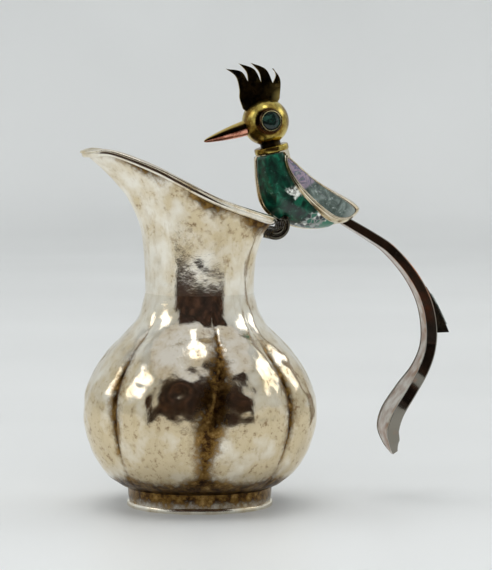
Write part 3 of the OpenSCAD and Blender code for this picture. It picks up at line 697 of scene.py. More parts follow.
# %% Beak
beak_l, beak_r = 16.4, 2.9
droop = math.radians(197)
aim = np.array([math.cos(droop), 0, math.sin(droop)])
over = np.array([aim[2], 0, -aim[0]])
root = head + aim * head_r * 0.93
beak_line = curve([[beak_r, 0], [beak_r * 0.86, beak_l * 0.3], [beak_r * 0.60, beak_l * 0.62],
                   [beak_r * 0.30, beak_l * 0.9], [0.36, beak_l * 0.985], [0.06, beak_l]], 10)
beak_line = np.vstack([[beak_r, -1.2], beak_line])
for half, name, slot_name in ((1, "upper", "beak_brass"), (-1, "lower", "beak_copper")):
    bend = np.linspace(0, math.pi, 29)
    ring = np.concatenate([np.stack([np.cos(bend), np.sin(bend)], 1),
                           np.stack([np.linspace(-0.9, 0.9, 9), np.full(9, 0.012)], 1)])
    r, h = beak_line[:, 0][:, None, None], beak_line[:, 1][:, None, None]
    grid = root + aim * h + r * ring[None, :, :1] * np.array([0, 1, 0]) \
        + r * ring[None, :, 1:] * over * half
    # On the upper half the rise mark paints a highlight: the brass turns light along the top of the beak.
    surface(f"beak_{name}_half", [(grid, "poles")], slot_name, [f"beak_{name}"], crease=55,
            marks={"rise": [ring[:, 1] + 0 * grid[..., 0]], "reach": [beak_line[:, 1:] + 0 * grid[..., 0]]})

# %% [markdown]
# ## Crest
# The crest is a comb of four feathers, sawn from brass sheet. Its outline is drawn with smooth
# curves, and rings of that outline, drawn in a little at each face, give the filed edge.

# %% Crest
crest_t = 1.0
feathers = [[[-15.1, 10.8], [-6.6, 6.0]], [[-10.2, 12.8], [-1.6, 5.7]],
            [[-5.6, 13], [2.8, 5.5]], [[2.8, 11], [5.4, 0]]]
parts = [curve([[-8.6, -4], [-9.9, 0], [-10.0, 3.5], [-11.4, 8.0], feathers[0][0]], 8)]
for k, (tip, notch) in enumerate(feathers):
    bow = [(tip[0] + notch[0]) / 2 + 1.5, (tip[1] + notch[1]) / 2 + 1.4]
    parts.append(curve([tip, bow, notch], 8)[1:])
    if k < 3:
        nxt = feathers[k + 1][0]
        mid = [(notch[0] + nxt[0]) / 2 + 1.1, (notch[1] + nxt[1]) / 2 + 0.2]
        parts.append(curve([notch, mid, nxt], 8)[1:])
parts.append(np.array([[3.5, -4], [0, -6], [-6, -6]]))
comb = np.vstack(parts)
way = np.roll(comb, -1, 0) - np.roll(comb, 1, 0)
inwards = np.stack([-way[:, 1], way[:, 0]], 1) / np.linalg.norm(way, axis=1)[:, None]
if np.sum(comb[:, 0] * np.roll(comb[:, 1], -1) - np.roll(comb[:, 0], -1) * comb[:, 1]) < 0:
    inwards = -inwards
levels = [[0.16, -0.5], [0.04, -0.42], [0.0, -0.25], [0.0, 0.25], [0.04, 0.42], [0.16, 0.5]]
grid = np.stack([head + np.stack([comb[:, 0] + w * inwards[:, 0], np.full(len(comb), h * crest_t),
                                  comb[:, 1] + w * inwards[:, 1] + head_r], 1) for w, h in levels])
edge = np.array([[0.0], [0.6], [1], [1], [0.6], [0]]) + 0 * grid[..., 0]
# The two face rings paint a sheen: the crest's faces turn to lighter brass towards the back and the bottom.
# The edge rows above are rubbed bright.
edge[[0, -1]] = 0.80 * blend_in(-4, 5, comb[:, 0]) * blend_in(11, 1, comb[:, 1])
surface("crest_comb", [(grid, "flat")], "crest_brass", ["crest"], crease=50, marks={"edge": [edge]})

# %% [markdown]
# ## Tail
# The tail is a silver channel with a plate let into its inner side. It leaves the body, arches
# over the hand, and widens to a blade that curls out. Its section is a list of points measured
# in shares of the half width, of the thickness and of the wall, so one list serves all along it.

# %% Tail line
STATIONS = 150
tail_line = curve([[23.6, -0.6], [36.2, -8.2], [43.2, -13.2], [50.6, -21.6], [55.8, -31],
                   [57.9, -40.4], [57.6, -48.6], [54.8, -56], [49.6, -63.6], [44, -72],
                   [41.8, -79], [43.3, -85], [45.7, -89]], 12)
halves = curve(np.array([tail_half * k for k in (0.7, 0.9, 1, 1, 1, 1, 1)]
                        + [tail_half * 0.5 + blade_half * 0.4]
                        + [blade_half * k for k in (0.93, 1, 0.86, 0.56, 0.16)]), 12)
thicks = curve(np.array([0.72, 0.80, 0.84, 0.88, 0.94, 1, 1, 0.98, 0.96, 1, 1.1, 1.05, 0.55]) * tail_t, 12)
share = np.linspace(0, 1, STATIONS)
spine = along(tail_line, share)
way = np.gradient(spine, axis=0)
out_of_spine = np.stack([-way[:, 1], way[:, 0]], 1) / np.linalg.norm(way, axis=1)[:, None]
half_at, thick_at = along(halves, share), along(thicks, share)
wall_at = np.minimum(0.9, 0.45 * np.minimum(thick_at, half_at))


def tail(section, rows=slice(None)):
    """Sweeps section points along the spine. A point is (share of half width, of wall, mm) for
    its side step and (share of thickness, of wall, mm) for its step out."""
    q = np.asarray(section, float)
    w, t, s = (v[rows, None] for v in (half_at, thick_at, wall_at))
    y = q[:, 0] * w + q[:, 1] * s + q[:, 2]
    d = q[:, 3] * t + q[:, 4] * s + q[:, 5]
    p = spine[rows, None] + out_of_spine[rows, None] * d[..., None]
    return perch + np.stack([p[..., 0], y, p[..., 1]], 2)


def both(points):
    """A list of section points and its mirror image, to make a closed loop."""
    return points + [[-a, -b, -c, d, e, f] for a, b, c, d, e, f in points[::-1]]


channel = both([[1, -1, 0, 1, -1, 0], [1, -1, 0, 0, 0, 0.12], [1, -1, 0.12, 0, 0, 0.0],
                [1, 0, -0.12, 0, 0, 0.0], [1, 0, 0, 0, 0, 0.12], [1, 0, 0, 0, 0, 0.18],
                [1, 0, 0, 1, 0, -0.56], [1, 0, 0, 1, 0, -0.5], [1, 0, -0.07, 1, 0, -0.25],
                [1, 0, -0.22, 1, 0, -0.08],
                [1, 0, -0.45, 1, 0, 0.0], [0.5, 0, 0, 1, 0, 0.0]])
grid = tail(channel)
ridge = np.array([0.0, 0, 0.6, 0.9, 0.6, 0.45, 0.1, 0.3, 0.8, 0.8, 0.6, 0.4])
ridge = np.concatenate([ridge, ridge[::-1]])[None, :] + 0 * grid[..., 0]
surface("tail_channel_wall", [(grid, "flat")], "tail_silver", ["tail_channel"], crease=38,
        marks={"reach": [share[:, None] + 0 * grid[..., 0]], "ridge": [ridge]})
facing = both([[1, -1, -0.05, 0, 0, 0.70], [1, -1, -0.05, 0, 0, 0.22], [1, -1, -0.18, 0, 0, 0.10],
               [0.6, 0, 0, 0, 0, 0.02], [0.25, 0, 0, 0, 0, -0.03]])
grid = tail(facing)
surface("tail_facing_plate", [(grid, "flat")], "tail_facing_silver", ["tail_facing"], crease=50,
        marks={"reach": [0.25 + 0 * grid[..., 0]], "ridge": [0.55 + 0 * grid[..., 0]]})

# %% Short feather on the tail
covert_half, covert_rise = 3.5, 4.2


def covert(points, u):
    """The short feather: a section at a share u along it stands on the tail's outer face, from
    a third to just under half of the way along the tail, and lifts off by u to the 1.5."""
    q = np.asarray(points, float)
    x = (11 + 5 * u) / 36
    p, n = along(spine, x), along(out_of_spine, x)
    w = covert_half * (0.75 + 0.25 * u)[:, None]
    lift = (covert_rise * u ** 1.5)[:, None]
    y = q[:, 0] * w + q[:, 1]
    d = along(thick_at, x)[:, None] + 0.05 + q[:, 2] * lift + q[:, 3]
    at_p = p[:, None] + n[:, None] * d[..., None]
    return perch + np.stack([at_p[..., 0], y, at_p[..., 1]], 2)


u = np.linspace(0, 1, 40)
leaf = [[1, 0, 0, 0.0], [1, 0, 1, 0.3], [1, -0.2, 1, 0.5], [0.4, 0, 1, 0.5], [-0.4, 0, 1, 0.5],
        [-1, 0.2, 1, 0.5], [-1, 0, 1, 0.3], [-1, 0, 0, 0.0]]
grid = covert(leaf, u)
surface("short_feather", [(grid, "flat")], "toe_silver", ["tail_covert"], crease=40,
        marks={"tarnish": [0.2 + 0 * grid[..., 0]]})
stone = [[1, -0.7, 1, 0.6], [1, -0.7, 1, 0.95], [1, -0.9, 1, 1.1], [0.3, 0, 1, 1.18], [-0.3, 0, 1, 1.18],
         [-1, 0.9, 1, 1.1], [-1, 0.7, 1, 0.95], [-1, 0.7, 1, 0.6]]
grid = covert(stone, np.linspace(1 / 6, 5 / 6, 30))
surface("short_feather_stone", [(grid, "flat")], "malachite_deep", ["tail_covert_stone"], crease=50,
        marks={"rib": [12.0 + 0 * grid[..., 0]], "turn": [40.0 + 0 * grid[..., 0]]})

# %% [markdown]
# ## Toes
# Each foot is three silver wires, curled from a rod under the belly down behind the rim and in
# under its strip. A toe is a circle carried along an arc, with a radius that closes at its tip
# like a quarter circle. A shorter arc inside each curl is the solder that holds it.

# %% Toes
toe_d, toe_pitch, curl_r = 2.2, 2.5, 4.4
curl_at = np.array([-1.65, -1.6])
curl_from, curl_turn = math.radians(-126), math.radians(160)


def toe(y, bend=curl_r, turn_by=curl_turn):
    """A tube of radius 1.1 mm along an arc in the plane at y, rounded at its tip."""
    walk = np.concatenate([[0.02, 0.08, 0.2, 0.4, 0.7], np.linspace(1.1, turn_by * bend, 40)])
    theta = (curl_from + walk / bend)[:, None]
    r = toe_d / 2 * np.sqrt(1 - (1 - np.clip(walk / 1.1, 0, 1)) ** 2)[:, None]
    phi = np.linspace(0, 2 * np.pi, 24, endpoint=False)[None]
    reach = bend + r * np.cos(phi)
    return perch + np.stack([curl_at[0] + reach * np.cos(theta), y + r * np.sin(phi) + 0 * theta,
                             curl_at[1] + reach * np.sin(theta)], 2)


ankle = curl_at + curl_r * np.array([math.cos(curl_from + curl_turn), math.sin(curl_from + curl_turn)])
for side, hand in ((1, "right"), (-1, "left")):
    toes = [(toe(side * toe_pitch * (k + 0.5)), "poles") for k in range(3)]
    toes += [(toe(side * toe_pitch * (k + 0.5), 2.7, math.radians(96)), "poles") for k in range(3)]
    low, high = (toe_pitch - toe_d) / 2 - 0.05, toe_pitch * 2.5 + toe_d / 2 + 0.05
    rod_line = [[0.6, low], [1.0, low + 0.12], [1.2, low + 0.5],
                [1.2, high - 0.5], [1.0, high - 0.12], [0.6, high]]
    rod = turned(rod_line, at(ankle), [0, side, 0], 24)
    surface(f"toes_{hand}", toes + [(rod, "poles")], "toe_silver", [f"foot_{hand}"])

# %% [markdown]
# ## Material tools
# Colours are written as sRGB hex, the way a colour chart gives them, and turned to linear light
# once. One function adds any shader node with its settings and links. Pattern sizes are given in
# millimetres: a texture's scale is 1000 over the size, because the mesh is in metres.

# %% Material tools
def linear(code):
    """An sRGB hex colour as linear RGBA."""
    c = np.array([int(code[i:i + 2], 16) for i in (1, 3, 5)]) / 255
    c = np.where(c <= 0.04045, c / 12.92, ((c + 0.055) / 1.055) ** 2.4)
    return (*c.tolist(), 1.0)


def plug(tree, node, inputs):
    """Fills a node's sockets, by name or number: a link, a hex colour or a plain value."""
    for key, value in inputs.items():
        if isinstance(value, bpy.types.NodeSocket):
            tree.links.new(value, node.inputs[key])
        else:
            node.inputs[key].default_value = linear(value) if isinstance(value, str) else value


def add(tree, kind, inputs=None, stops=None, **settings):
    """Adds a node: settings are its own properties, inputs go to its sockets, and stops are the
    (place, colour) pairs of a colour ramp."""
    n = tree.nodes.new("ShaderNode" + kind)
    for key, value in settings.items():
        setattr(n, key, value)
    plug(tree, n, inputs or {})
    if stops:
        ramp = n.color_ramp.elements
        while len(ramp) < len(stops):
            ramp.new(0.5)
        for e, (place, code) in zip(ramp, stops):
            e.position, e.color = place, linear(code)
    return n


def material(name):
    """An empty material: its node tree, its shader and the socket of Object coordinates."""
    m = bpy.data.materials.new(name)
    m.use_nodes = True
    tree = m.node_tree
    tree.nodes.clear()
    shader = add(tree, "BsdfPrincipled")
    add(tree, "OutputMaterial", {"Surface": shader.outputs[0]})
    return m, tree, shader, add(tree, "TexCoord").outputs["Object"]


def per_mm(size):
    """The scale of a texture whose features are this many millimetres across."""
    return 1000 / size


looks = {}

# %% [markdown]
# ## Hammered silver
# Silver sheet, planished and polished, then left to tarnish and wiped. The eye sees a warm
# mirror, a faint yellow film in patches, brown specks where the polish missed, and brown and
# olive tarnish that stays in the grooves. Just under the strip the brown is partly tarnish and
# partly painted shade. The tarnish mark on each point of the mesh says how sheltered it is,
# and under the strip how shaded as well.

# %% Hammered silver
def silver(name, clean="#f5efe1", film="#dbcaa8", rough=0.06, stain_gain=1.0, grain=0.02):
    """Polished silver: noise of 9 mm for the film, 3 mm for the stain's outline, 2.2 mm for
    specks, tall noise of 2.6 mm for wiping, and a fine bump for the grain of the sheet."""
    m, tree, shader, place = material(name)
    mark = add(tree, "Attribute", attribute_name="tarnish").outputs["Fac"]
    broad = add(tree, "TexNoise", {"Vector": place, "Scale": per_mm(9), "Detail": 3.0}).outputs["Fac"]
    middle = add(tree, "TexNoise", {"Vector": place, "Scale": per_mm(3), "Detail": 5.0,
                                    "Roughness": 0.65}).outputs["Fac"]
    speck = add(tree, "TexNoise", {"Vector": place, "Scale": per_mm(2.2), "Detail": 8.0,
                                   "Roughness": 0.72}).outputs["Fac"]
    wander = add(tree, "Math", {0: middle, 1: 0.9 * stain_gain, 2: -0.50 * stain_gain},
                 operation="MULTIPLY_ADD").outputs[0]
    sheltered = add(tree, "Math", {0: mark, 1: wander}, operation="ADD").outputs[0]
    stain = add(tree, "MapRange", {"Value": sheltered, "From Min": 0.28, "From Max": 0.74},
                interpolation_type="SMOOTHSTEP").outputs[0]
    film_mark = add(tree, "Attribute", attribute_name="film").outputs["Fac"]
    filmed = add(tree, "Math", {0: film_mark, 1: 0.24, 2: broad}, operation="MULTIPLY_ADD").outputs[0]
    filmed = add(tree, "MapRange", {"Value": filmed, "From Min": 0.44, "From Max": 0.74}).outputs[0]
    specks = add(tree, "MapRange", {"Value": speck, "From Min": 0.52, "From Max": 0.64},
                 interpolation_type="SMOOTHSTEP").outputs[0]
    where = add(tree, "Math", {0: film_mark, 1: 0.12, 2: broad}, operation="MULTIPLY_ADD").outputs[0]
    where = add(tree, "MapRange", {"Value": where, "From Min": 0.50, "From Max": 0.70,
                                   "To Max": 0.80}).outputs[0]
    specks = add(tree, "Math", {0: specks, 1: where}, operation="MULTIPLY").outputs[0]
    tall = add(tree, "Mapping", {"Vector": place, "Scale": (1.0, 1.0, 0.28)}).outputs[0]
    streak = add(tree, "TexNoise", {"Vector": tall, "Scale": per_mm(2.6), "Detail": 5.0,
                                    "Roughness": 0.7}).outputs["Fac"]
    wiped = add(tree, "MapRange", {"Value": streak, "From Min": 0.52, "From Max": 0.70,
                                   "To Max": 0.40}).outputs[0]
    tone = add(tree, "Mix", {0: filmed, 6: clean, 7: film}, data_type="RGBA").outputs[2]
    tone = add(tree, "Mix", {0: wiped, 6: tone, 7: "#bda67c"}, data_type="RGBA").outputs[2]
    tone = add(tree, "Mix", {0: specks, 6: tone, 7: "#8a6c48"}, data_type="RGBA").outputs[2]
    brown = add(tree, "ValToRGB", {"Fac": middle}, stops=[
        (0.32, "#1a110a"), (0.43, "#46301a"), (0.51, "#6e5228"), (0.60, "#86693c"),
        (0.70, "#ad8c58")]).outputs[0]
    tone = add(tree, "Mix", {0: stain, 6: tone, 7: brown}, data_type="RGBA").outputs[2]
    dull = add(tree, "Math", {0: filmed, 1: 0.07, 2: rough}, operation="MULTIPLY_ADD").outputs[0]
    dull = add(tree, "Math", {0: stain, 1: 0.20, 2: dull}, operation="MULTIPLY_ADD").outputs[0]
    dull = add(tree, "Math", {0: specks, 1: 0.15, 2: dull}, operation="MULTIPLY_ADD").outputs[0]
    bump = add(tree, "Bump", {"Height": speck, "Strength": 1.0, "Distance": 0.7 * grain * MM}).outputs[0]
    bump = add(tree, "Bump", {"Height": middle, "Strength": 1.0, "Distance": 4 * grain * MM,
                              "Normal": bump}).outputs[0]
    plug(tree, shader, {"Base Color": tone, "Roughness": dull, "Normal": bump, "Metallic": 1.0})
    return m


looks["hammered_silver"] = silver("hammered_silver_sheet")
looks["silver_trim"] = silver("silver_strip_polished", rough=0.17, stain_gain=0.9, grain=0.012)
looks["bird_silver"] = silver("silver_sheet_with_tarnish", clean="#e6dcc6", film="#c9b183", rough=0.12,
                              stain_gain=0.8, grain=0.012)

# %% [markdown]
# ## Tail silver
# The tail's silver is polished smooth. Hands have worn it along its ridge, where the copper
# in the metal shows pink and brown, and its inner plate was brushed along its length.

# %% Tail and toes
def worn_silver(name, clean, worn, rough):
    """Silver with worn patches: noise of 5 mm, let through where the reach mark (0 at the bird,
    1 at the blade's tip) is between 0.08 and 0.42, and most along the ridge mark."""
    m, tree, shader, place = material(name)
    reach = add(tree, "Attribute", attribute_name="reach").outputs["Fac"]
    streak = add(tree, "TexNoise", {"Vector": place, "Scale": per_mm(5), "Detail": 4.0}).outputs["Fac"]
    middle = add(tree, "MapRange", {"Value": reach, "From Min": 0.08, "From Max": 0.22}).outputs[0]
    ending = add(tree, "MapRange", {"Value": reach, "From Min": 0.30, "From Max": 0.42,
                                    "To Min": 1.0, "To Max": 0.0}).outputs[0]
    ridge = add(tree, "Attribute", attribute_name="ridge").outputs["Fac"]
    wear = add(tree, "Math", {0: middle, 1: ending}, operation="MULTIPLY").outputs[0]
    wear = add(tree, "Math", {0: wear, 1: ridge}, operation="MULTIPLY").outputs[0]
    wear = add(tree, "Math", {0: wear, 1: 0.45, 2: streak}, operation="MULTIPLY_ADD").outputs[0]
    wear = add(tree, "MapRange", {"Value": wear, "From Min": 0.62, "From Max": 0.88}).outputs[0]
    tone = add(tree, "Mix", {0: wear, 6: clean, 7: worn}, data_type="RGBA").outputs[2]
    bump = add(tree, "Bump", {"Height": streak, "Strength": 1.0, "Distance": 0.02 * MM}).outputs[0]
    plug(tree, shader, {"Base Color": tone, "Normal": bump, "Metallic": 1.0, "Roughness": rough})
    return m


looks["tail_silver"] = worn_silver("tail_silver_polished", "#8f8a80", "#b98468", 0.08)
looks["tail_facing_silver"] = worn_silver("tail_plate_brushed_silver", "#cfc9c0", "#a08470", 0.30)
looks["toe_silver"] = silver("toe_wire_tarnished", clean="#5a564c", film="#2c2a24", rough=0.20,
                             stain_gain=1.0, grain=0.03)

# %% [markdown]
# ## Brass and copper
# The head and collar are polished brass, a green-yellow mirror with a little brown tarnish, and
# the head has painted shade and reflection round each eye. The crest is brass with a dark patina,
# bright where its filed edge is rubbed, with a painted sheen that lightens its faces towards the
# back. The beak is patinated brass above, with a painted highlight along its top, and copper below.

# %% Brass and copper
def brass(name, clean, dark, amount, rough, size=6.0, mark=None, edge=None):
    """Brass or copper: noise of a few mm for where the tarnish lies, a fine bump for handling
    marks, a dark brown ring of painted shade and reflection round the eyes where the head's mark
    says, and a mark of the mesh, if there is one, for where it turns to the lighter colour:
    rubbed edges, a painted sheen on the crest's faces and a painted highlight on the beak's top."""
    m, tree, shader, place = material(name)
    cloud = add(tree, "TexNoise", {"Vector": place, "Scale": per_mm(size), "Detail": 5.0,
                                   "Roughness": 0.6}).outputs["Fac"]
    fine = add(tree, "TexNoise", {"Vector": place, "Scale": per_mm(0.7), "Detail": 2.0}).outputs["Fac"]
    lies = add(tree, "MapRange", {"Value": cloud, "From Min": 0.62 - amount * 0.5,
                                  "From Max": 0.80 - amount * 0.4}).outputs[0]
    tone = add(tree, "Mix", {0: lies, 6: clean, 7: dark}, data_type="RGBA").outputs[2]
    # Painted shade and reflection round the eye tubes: where the head's ring mark is 1, the brass turns dark
    # brown.
    eye_shade_and_reflection = add(tree, "Attribute", attribute_name="eye_shade_and_reflection").outputs["Fac"]
    tone = add(tree, "Mix", {0: eye_shade_and_reflection, 6: tone, 7: "#3a220f"}, data_type="RGBA").outputs[2]
    if mark:
        # The lighter colour is rubbed edges on the bezel and crest, painted sheen on the crest's faces and a
        # painted highlight on the beak's top.
        rubbed_and_highlight = add(tree, "Attribute", attribute_name=mark).outputs["Fac"]
        rubbed_and_highlight = add(tree, "MapRange", {"Value": rubbed_and_highlight, "From Min": 0.62, "From Max": 0.92}).outputs[0]
        tone = add(tree, "Mix", {0: rubbed_and_highlight, 6: tone, 7: edge}, data_type="RGBA").outputs[2]
    dull = add(tree, "Math", {0: lies, 1: 0.15, 2: rough}, operation="MULTIPLY_ADD").outputs[0]
    bump = add(tree, "Bump", {"Height": cloud, "Strength": 1.0, "Distance": 0.10 * MM}).outputs[0]
    bump = add(tree, "Bump", {"Height": fine, "Strength": 1.0, "Distance": 0.006 * MM,
                              "Normal": bump}).outputs[0]
    plug(tree, shader, {"Base Color": tone, "Roughness": dull, "Normal": bump, "Metallic": 1.0})
    return m


looks["polished_brass"] = brass("polished_brass", "#d6c269", "#7a5c22", 0.5, 0.13)
# The crest's lighter brass is its rubbed filed edges and a painted sheen on its faces.
looks["crest_brass"] = brass("crest_brass_dark_patina", "#4a3c20", "#140f09", 0.55, 0.26, 4.0,
                             "edge", "#b59f5e")
# The upper beak's rise mark paints a highlight along its top in light brass.
looks["beak_brass"] = brass("beak_brass_dark_patina", "#4a3418", "#1c130b", 0.5, 0.25, 3.0, "rise", "#e0c878")
looks["beak_copper"] = brass("beak_copper_pink", "#e9a58c", "#8c4a34", 0.35, 0.22, 3.0)
looks["eye_bezel_metal"] = brass("eye_tube_brown_brass", "#6a4c2c", "#22140c", 0.55, 0.16, 3.0,
                                 "edge", "#dccf9c")

# %% [markdown]
# ## Stones
# The inlays are malachite, shell and chips of dark stone in a pewter-coloured bed, ground
# smooth and polished. Polished stone is a dielectric: its gloss is a clear reflection over a
# matt colour that goes a little way in.

# %% Bird's flank
def stones(name):
    """The inlay on the body. The rib mark (0 at the collar, 18 at the tail) and the turn mark
    (degrees round the rib) say where each stone lies, and noise bends their borders."""
    m, tree, shader, place = material(name)
    rib = add(tree, "Attribute", attribute_name="rib").outputs["Fac"]
    turn_mark = add(tree, "Attribute", attribute_name="turn").outputs["Fac"]
    cloud = add(tree, "TexNoise", {"Vector": place, "Scale": per_mm(3.2), "Detail": 5.0,
                                   "Roughness": 0.62, "Distortion": 0.6}).outputs["Fac"]
    fine = add(tree, "TexNoise", {"Vector": place, "Scale": per_mm(1.0), "Detail": 3.0}).outputs["Fac"]
    rib = add(tree, "Math", {0: cloud, 1: 3.0, 2: rib}, operation="MULTIPLY_ADD").outputs[0]
    turn_mark = add(tree, "Math", {0: cloud, 1: 60.0, 2: turn_mark}, operation="MULTIPLY_ADD").outputs[0]
    green = add(tree, "ValToRGB", {"Fac": cloud}, stops=[
        (0.28, "#010c08"), (0.42, "#022018"), (0.54, "#043a2a"), (0.64, "#08553f"),
        (0.78, "#1f7a5c")]).outputs[0]
    pale = add(tree, "MapRange", {"Value": fine, "From Min": 0.64, "From Max": 0.76,
                                  "To Max": 0.25}).outputs[0]
    green = add(tree, "Mix", {0: pale, 6: green, 7: "#6d9b8a"}, data_type="RGBA").outputs[2]
    cells = add(tree, "TexVoronoi", {"Vector": place, "Scale": per_mm(1.7)}).outputs["Color"]
    kind = add(tree, "SeparateColor", {0: cells}).outputs[0]
    chip = add(tree, "ValToRGB", {"Fac": kind}, stops=[
        (0.0, "#0c1013"), (0.30, "#2c3538"), (0.42, "#1d5a48"), (0.60, "#8d9693"), (0.78, "#d4d7d2"),
        (0.90, "#12353a")]).outputs[0]
    chip.node.color_ramp.interpolation = "CONSTANT"
    edge = add(tree, "TexVoronoi", {"Vector": place, "Scale": per_mm(1.7)},
               feature="DISTANCE_TO_EDGE").outputs["Distance"]
    bed = add(tree, "MapRange", {"Value": edge, "From Min": 0.04, "From Max": 0.10, "To Min": 1.0,
                                 "To Max": 0.0}).outputs[0]
    chip = add(tree, "Mix", {0: bed, 6: chip, 7: "#7c7f7a"}, data_type="RGBA").outputs[2]
    matrix = add(tree, "ValToRGB", {"Fac": fine}, stops=[
        (0.35, "#3b3a35"), (0.47, "#9da09a"), (0.60, "#d6d8d2")]).outputs[0]
    masks = []
    for source, low, high in ((rib, 6.4, 6.9), (rib, 8.6, 9.1), (turn_mark, 114, 121), (rib, 12.2, 12.5),
                              (rib, 15.6, 15.9)):
        masks.append(add(tree, "MapRange", {"Value": source, "From Min": float(low), "From Max": float(high)},
                         interpolation_type="SMOOTHSTEP").outputs[0])
    gone = add(tree, "Math", {0: 1.0, 1: masks[1]}, operation="SUBTRACT").outputs[0]
    vein = add(tree, "Math", {0: masks[0], 1: gone}, operation="MULTIPLY").outputs[0]
    vein = add(tree, "Math", {0: vein, 1: masks[2]}, operation="MULTIPLY").outputs[0]
    tone = add(tree, "Mix", {0: vein, 6: green, 7: matrix}, data_type="RGBA").outputs[2]
    tone = add(tree, "Mix", {0: masks[3], 6: tone, 7: chip}, data_type="RGBA").outputs[2]
    end = add(tree, "Mix", {0: pale, 6: "#2f6f58", 7: "#a9bdb2"}, data_type="RGBA").outputs[2]
    tone = add(tree, "Mix", {0: masks[4], 6: tone, 7: end}, data_type="RGBA").outputs[2]
    bump = add(tree, "Bump", {"Height": cloud, "Strength": 1.0, "Distance": 0.12 * MM}).outputs[0]
    plug(tree, shader, {"Base Color": tone, "Normal": bump, "Roughness": 0.28,
                        "Coat Weight": 0.35, "Coat Roughness": 0.12})
    return m


looks["malachite_deep"] = stones("malachite_inlay_polished")

# %% Wing stones
def wing_inlay(name):
    """Shell in the front half and grey-green malachite behind, parted by a slanting line in the
    wing's own marks. The shell's lustre is bands of pink, violet and grey, bent by noise."""
    m, tree, shader, place = material(name)
    x = add(tree, "Attribute", attribute_name="wing_x").outputs["Fac"]
    y = add(tree, "Attribute", attribute_name="wing_y").outputs["Fac"]
    cloud = add(tree, "TexNoise", {"Vector": place, "Scale": per_mm(4), "Detail": 6.0, "Roughness": 0.65,
                                   "Distortion": 1.2}).outputs["Fac"]
    fine = add(tree, "TexNoise", {"Vector": place, "Scale": per_mm(1.3), "Detail": 4.0}).outputs["Fac"]
    bands = add(tree, "TexNoise", {"Vector": place, "Scale": per_mm(4.5), "Detail": 4.0,
                                   "Distortion": 2.6}).outputs["Fac"]
    shell_tone = add(tree, "ValToRGB", {"Fac": bands}, stops=[
        (0.30, "#4a4553"), (0.42, "#6f6a75"), (0.50, "#8c7d88"), (0.56, "#625a74"), (0.63, "#575f60"),
        (0.74, "#8a898e")]).outputs[0]
    green = add(tree, "ValToRGB", {"Fac": cloud}, stops=[
        (0.30, "#2a332f"), (0.45, "#434e49"), (0.58, "#5a6661"), (0.72, "#858f8a")]).outputs[0]
    fleck = add(tree, "MapRange", {"Value": fine, "From Min": 0.60, "From Max": 0.72,
                                   "To Max": 0.6}).outputs[0]
    green = add(tree, "Mix", {0: fleck, 6: green, 7: "#aeb9b3"}, data_type="RGBA").outputs[2]
    slant = add(tree, "Math", {0: y, 1: -0.36, 2: x}, operation="MULTIPLY_ADD").outputs[0]
    slant = add(tree, "Math", {0: cloud, 1: 2.0, 2: slant}, operation="MULTIPLY_ADD").outputs[0]
    behind = add(tree, "MapRange", {"Value": slant, "From Min": 17.2, "From Max": 18.0}).outputs[0]
    tip = add(tree, "MapRange", {"Value": x, "From Min": 31.5, "From Max": 34.0, "To Max": 0.7}).outputs[0]
    tone = add(tree, "Mix", {0: behind, 6: shell_tone, 7: green}, data_type="RGBA").outputs[2]
    tone = add(tree, "Mix", {0: tip, 6: tone, 7: "#8b938f"}, data_type="RGBA").outputs[2]
    bump = add(tree, "Bump", {"Height": cloud, "Strength": 1.0, "Distance": 0.10 * MM}).outputs[0]
    plug(tree, shader, {"Base Color": tone, "Normal": bump, "Roughness": 0.25,
                        "Coat Weight": 0.5, "Coat Roughness": 0.08})
    return m


looks["malachite_pale"] = wing_inlay("shell_and_malachite_wing")

# %% Eye stone
m, tree, shader, place = material("dark_green_cabochon")
cloud = add(tree, "TexNoise", {"Vector": place, "Scale": per_mm(2.2), "Detail": 3.0}).outputs["Fac"]
tone = add(tree, "ValToRGB", {"Fac": cloud}, stops=[
    (0.35, "#050a09"), (0.55, "#0e1f1b"), (0.75, "#27443b")]).outputs[0]
plug(tree, shader, {"Base Color": tone, "Roughness": 0.08})
looks["eye_cabochon"] = m

# %% Give every piece its finish
node_slots = {p["node"]: p["material_slot"] for p in frame["record"]["subparts"]}
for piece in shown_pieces():
    slot = piece.get("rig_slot") or node_slots.get(piece.get("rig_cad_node"))
    if not piece.material_slots:
        piece.data.materials.append(looks[slot])
    for holder in piece.material_slots:
        holder.link = "OBJECT" if "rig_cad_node" in piece else "DATA"
        holder.material = looks[slot]

# %% [markdown]
# ## Stage and light
# The jug stands in a round white tent: a floor that curves up into a wall on every side. Even
# light comes from the sky over its open top, three small panels give the highlights, and two large
# fills don't show in the silver. The room beyond the tent's door is dark, and silver shows it as
# brown patches, so a dark door and a dark ground are there for reflections only.

# %% Stage
def stage_mesh(name, grid, around, look):
    """A floor or panel from a grid in mm. It isn't part of the object."""
    mesh = bpy.data.meshes.new(name)
    mesh.from_pydata(grid.reshape(-1, 3) * MM, [], skin_faces(*grid.shape[:2], 0, around, "open"))
    mesh.shade_smooth()
    mesh.materials.append(look)
    o = bpy.data.objects.new(name, mesh)
    bpy.context.collection.objects.link(o)
    return o


m, tree, shader, place = material("matt_white_tent")
cloud = add(tree, "TexNoise", {"Vector": place, "Scale": per_mm(260), "Detail": 2.0}).outputs["Fac"]
tone = add(tree, "ValToRGB", {"Fac": cloud}, stops=[(0.3, "#d3d5d5"), (0.7, "#dadcdc")]).outputs[0]
plug(tree, shader, {"Base Color": tone, "Roughness": 0.45})
tent_line = curve([[2, 0], [600, 0], [1200, 0], [1650, 0], [1840, 70], [1940, 330], [1985, 900], [2000, 1600],
                   [2000, 2400]], 8)
stage_mesh("tent", lathe(tent_line, 0, np.linspace(0, 2 * np.pi, 96, endpoint=False)[None, :]), True, m)

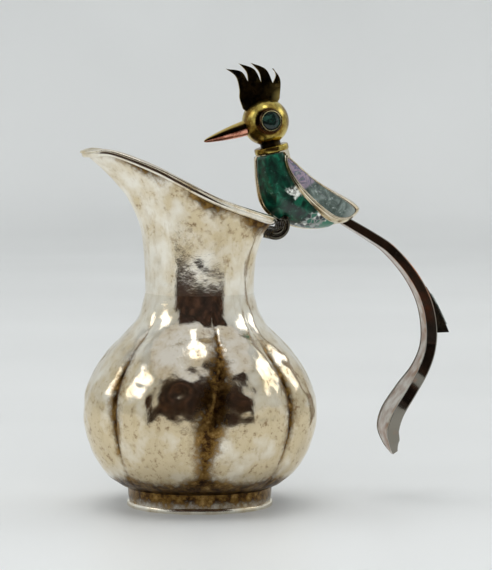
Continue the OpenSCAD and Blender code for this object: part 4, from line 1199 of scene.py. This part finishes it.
m, tree, shader, place = material("dark_room")
cloud = add(tree, "TexNoise", {"Vector": place, "Scale": 3.2, "Detail": 4.0}).outputs["Fac"]
tone = add(tree, "ValToRGB", {"Fac": cloud}, stops=[
    (0.36, "#150e0a"), (0.54, "#33221a"), (0.68, "#5c4030")]).outputs[0]
plug(tree, shader, {"Base Color": tone, "Roughness": 1.0})
facing_way = math.atan2(camera.location.y, camera.location.x)
reach = np.linspace(facing_way - math.radians(52), facing_way + math.radians(52), 40)[None, :]
level = np.linspace(3, 2350, 16)[:, None]
panel = np.stack([1600 * np.cos(reach) + 0 * level, 1600 * np.sin(reach) + 0 * level, level + 0 * reach], 2)
ground = np.linspace(390, 1600, 12)[:, None]
ground = np.stack([ground * np.cos(reach), ground * np.sin(reach), 3 + 0 * ground * reach], 2)
for name, grid in (("dark_door", panel), ("dark_ground", ground)):
    dark = stage_mesh(name, grid, False, m)
    dark.visible_camera = dark.visible_diffuse = dark.visible_shadow = False

# %% Light
world = bpy.data.worlds.new("tent_light")
world.use_nodes = True
bpy.context.scene.world = world
glow = world.node_tree.nodes["Background"]
glow.inputs["Color"].default_value = linear("#f3f3f2")
glow.inputs["Strength"].default_value = 0.66


def soft_panel(name, place_at, aim_at, size, power):
    """A square area light at a place, turned to a point, in metres and watts."""
    light = bpy.data.lights.new(name, "AREA")
    light.shape, light.size, light.energy = "SQUARE", size, power
    o = bpy.data.objects.new(name, light)
    bpy.context.collection.objects.link(o)
    o.location = place_at
    o.rotation_euler = (Vector(aim_at) - Vector(place_at)).to_track_quat("-Z", "Y").to_euler()
    return o


soft_panel("top_panel", (-0.1, -0.25, 1.7), (0, 0, 0.05), 0.42, 0.9)
soft_panel("left_panel", (-1.3, 0.2, 0.9), (0, 0, 0.08), 0.6, 1.5)
soft_panel("right_panel", (1.3, 0.1, 0.9), (0, 0, 0.08), 0.6, 1.3)
for name, place_at, size, power in (("front_fill", (-0.5, -1.5, 0.35), 1.2, 21),
                                    ("top_fill", (0, 0.4, 2.2), 1.8, 22)):
    soft_panel(name, place_at, (0, 0, 0.03), size, power).visible_glossy = False
bpy.context.scene.view_settings.view_transform = "Standard"
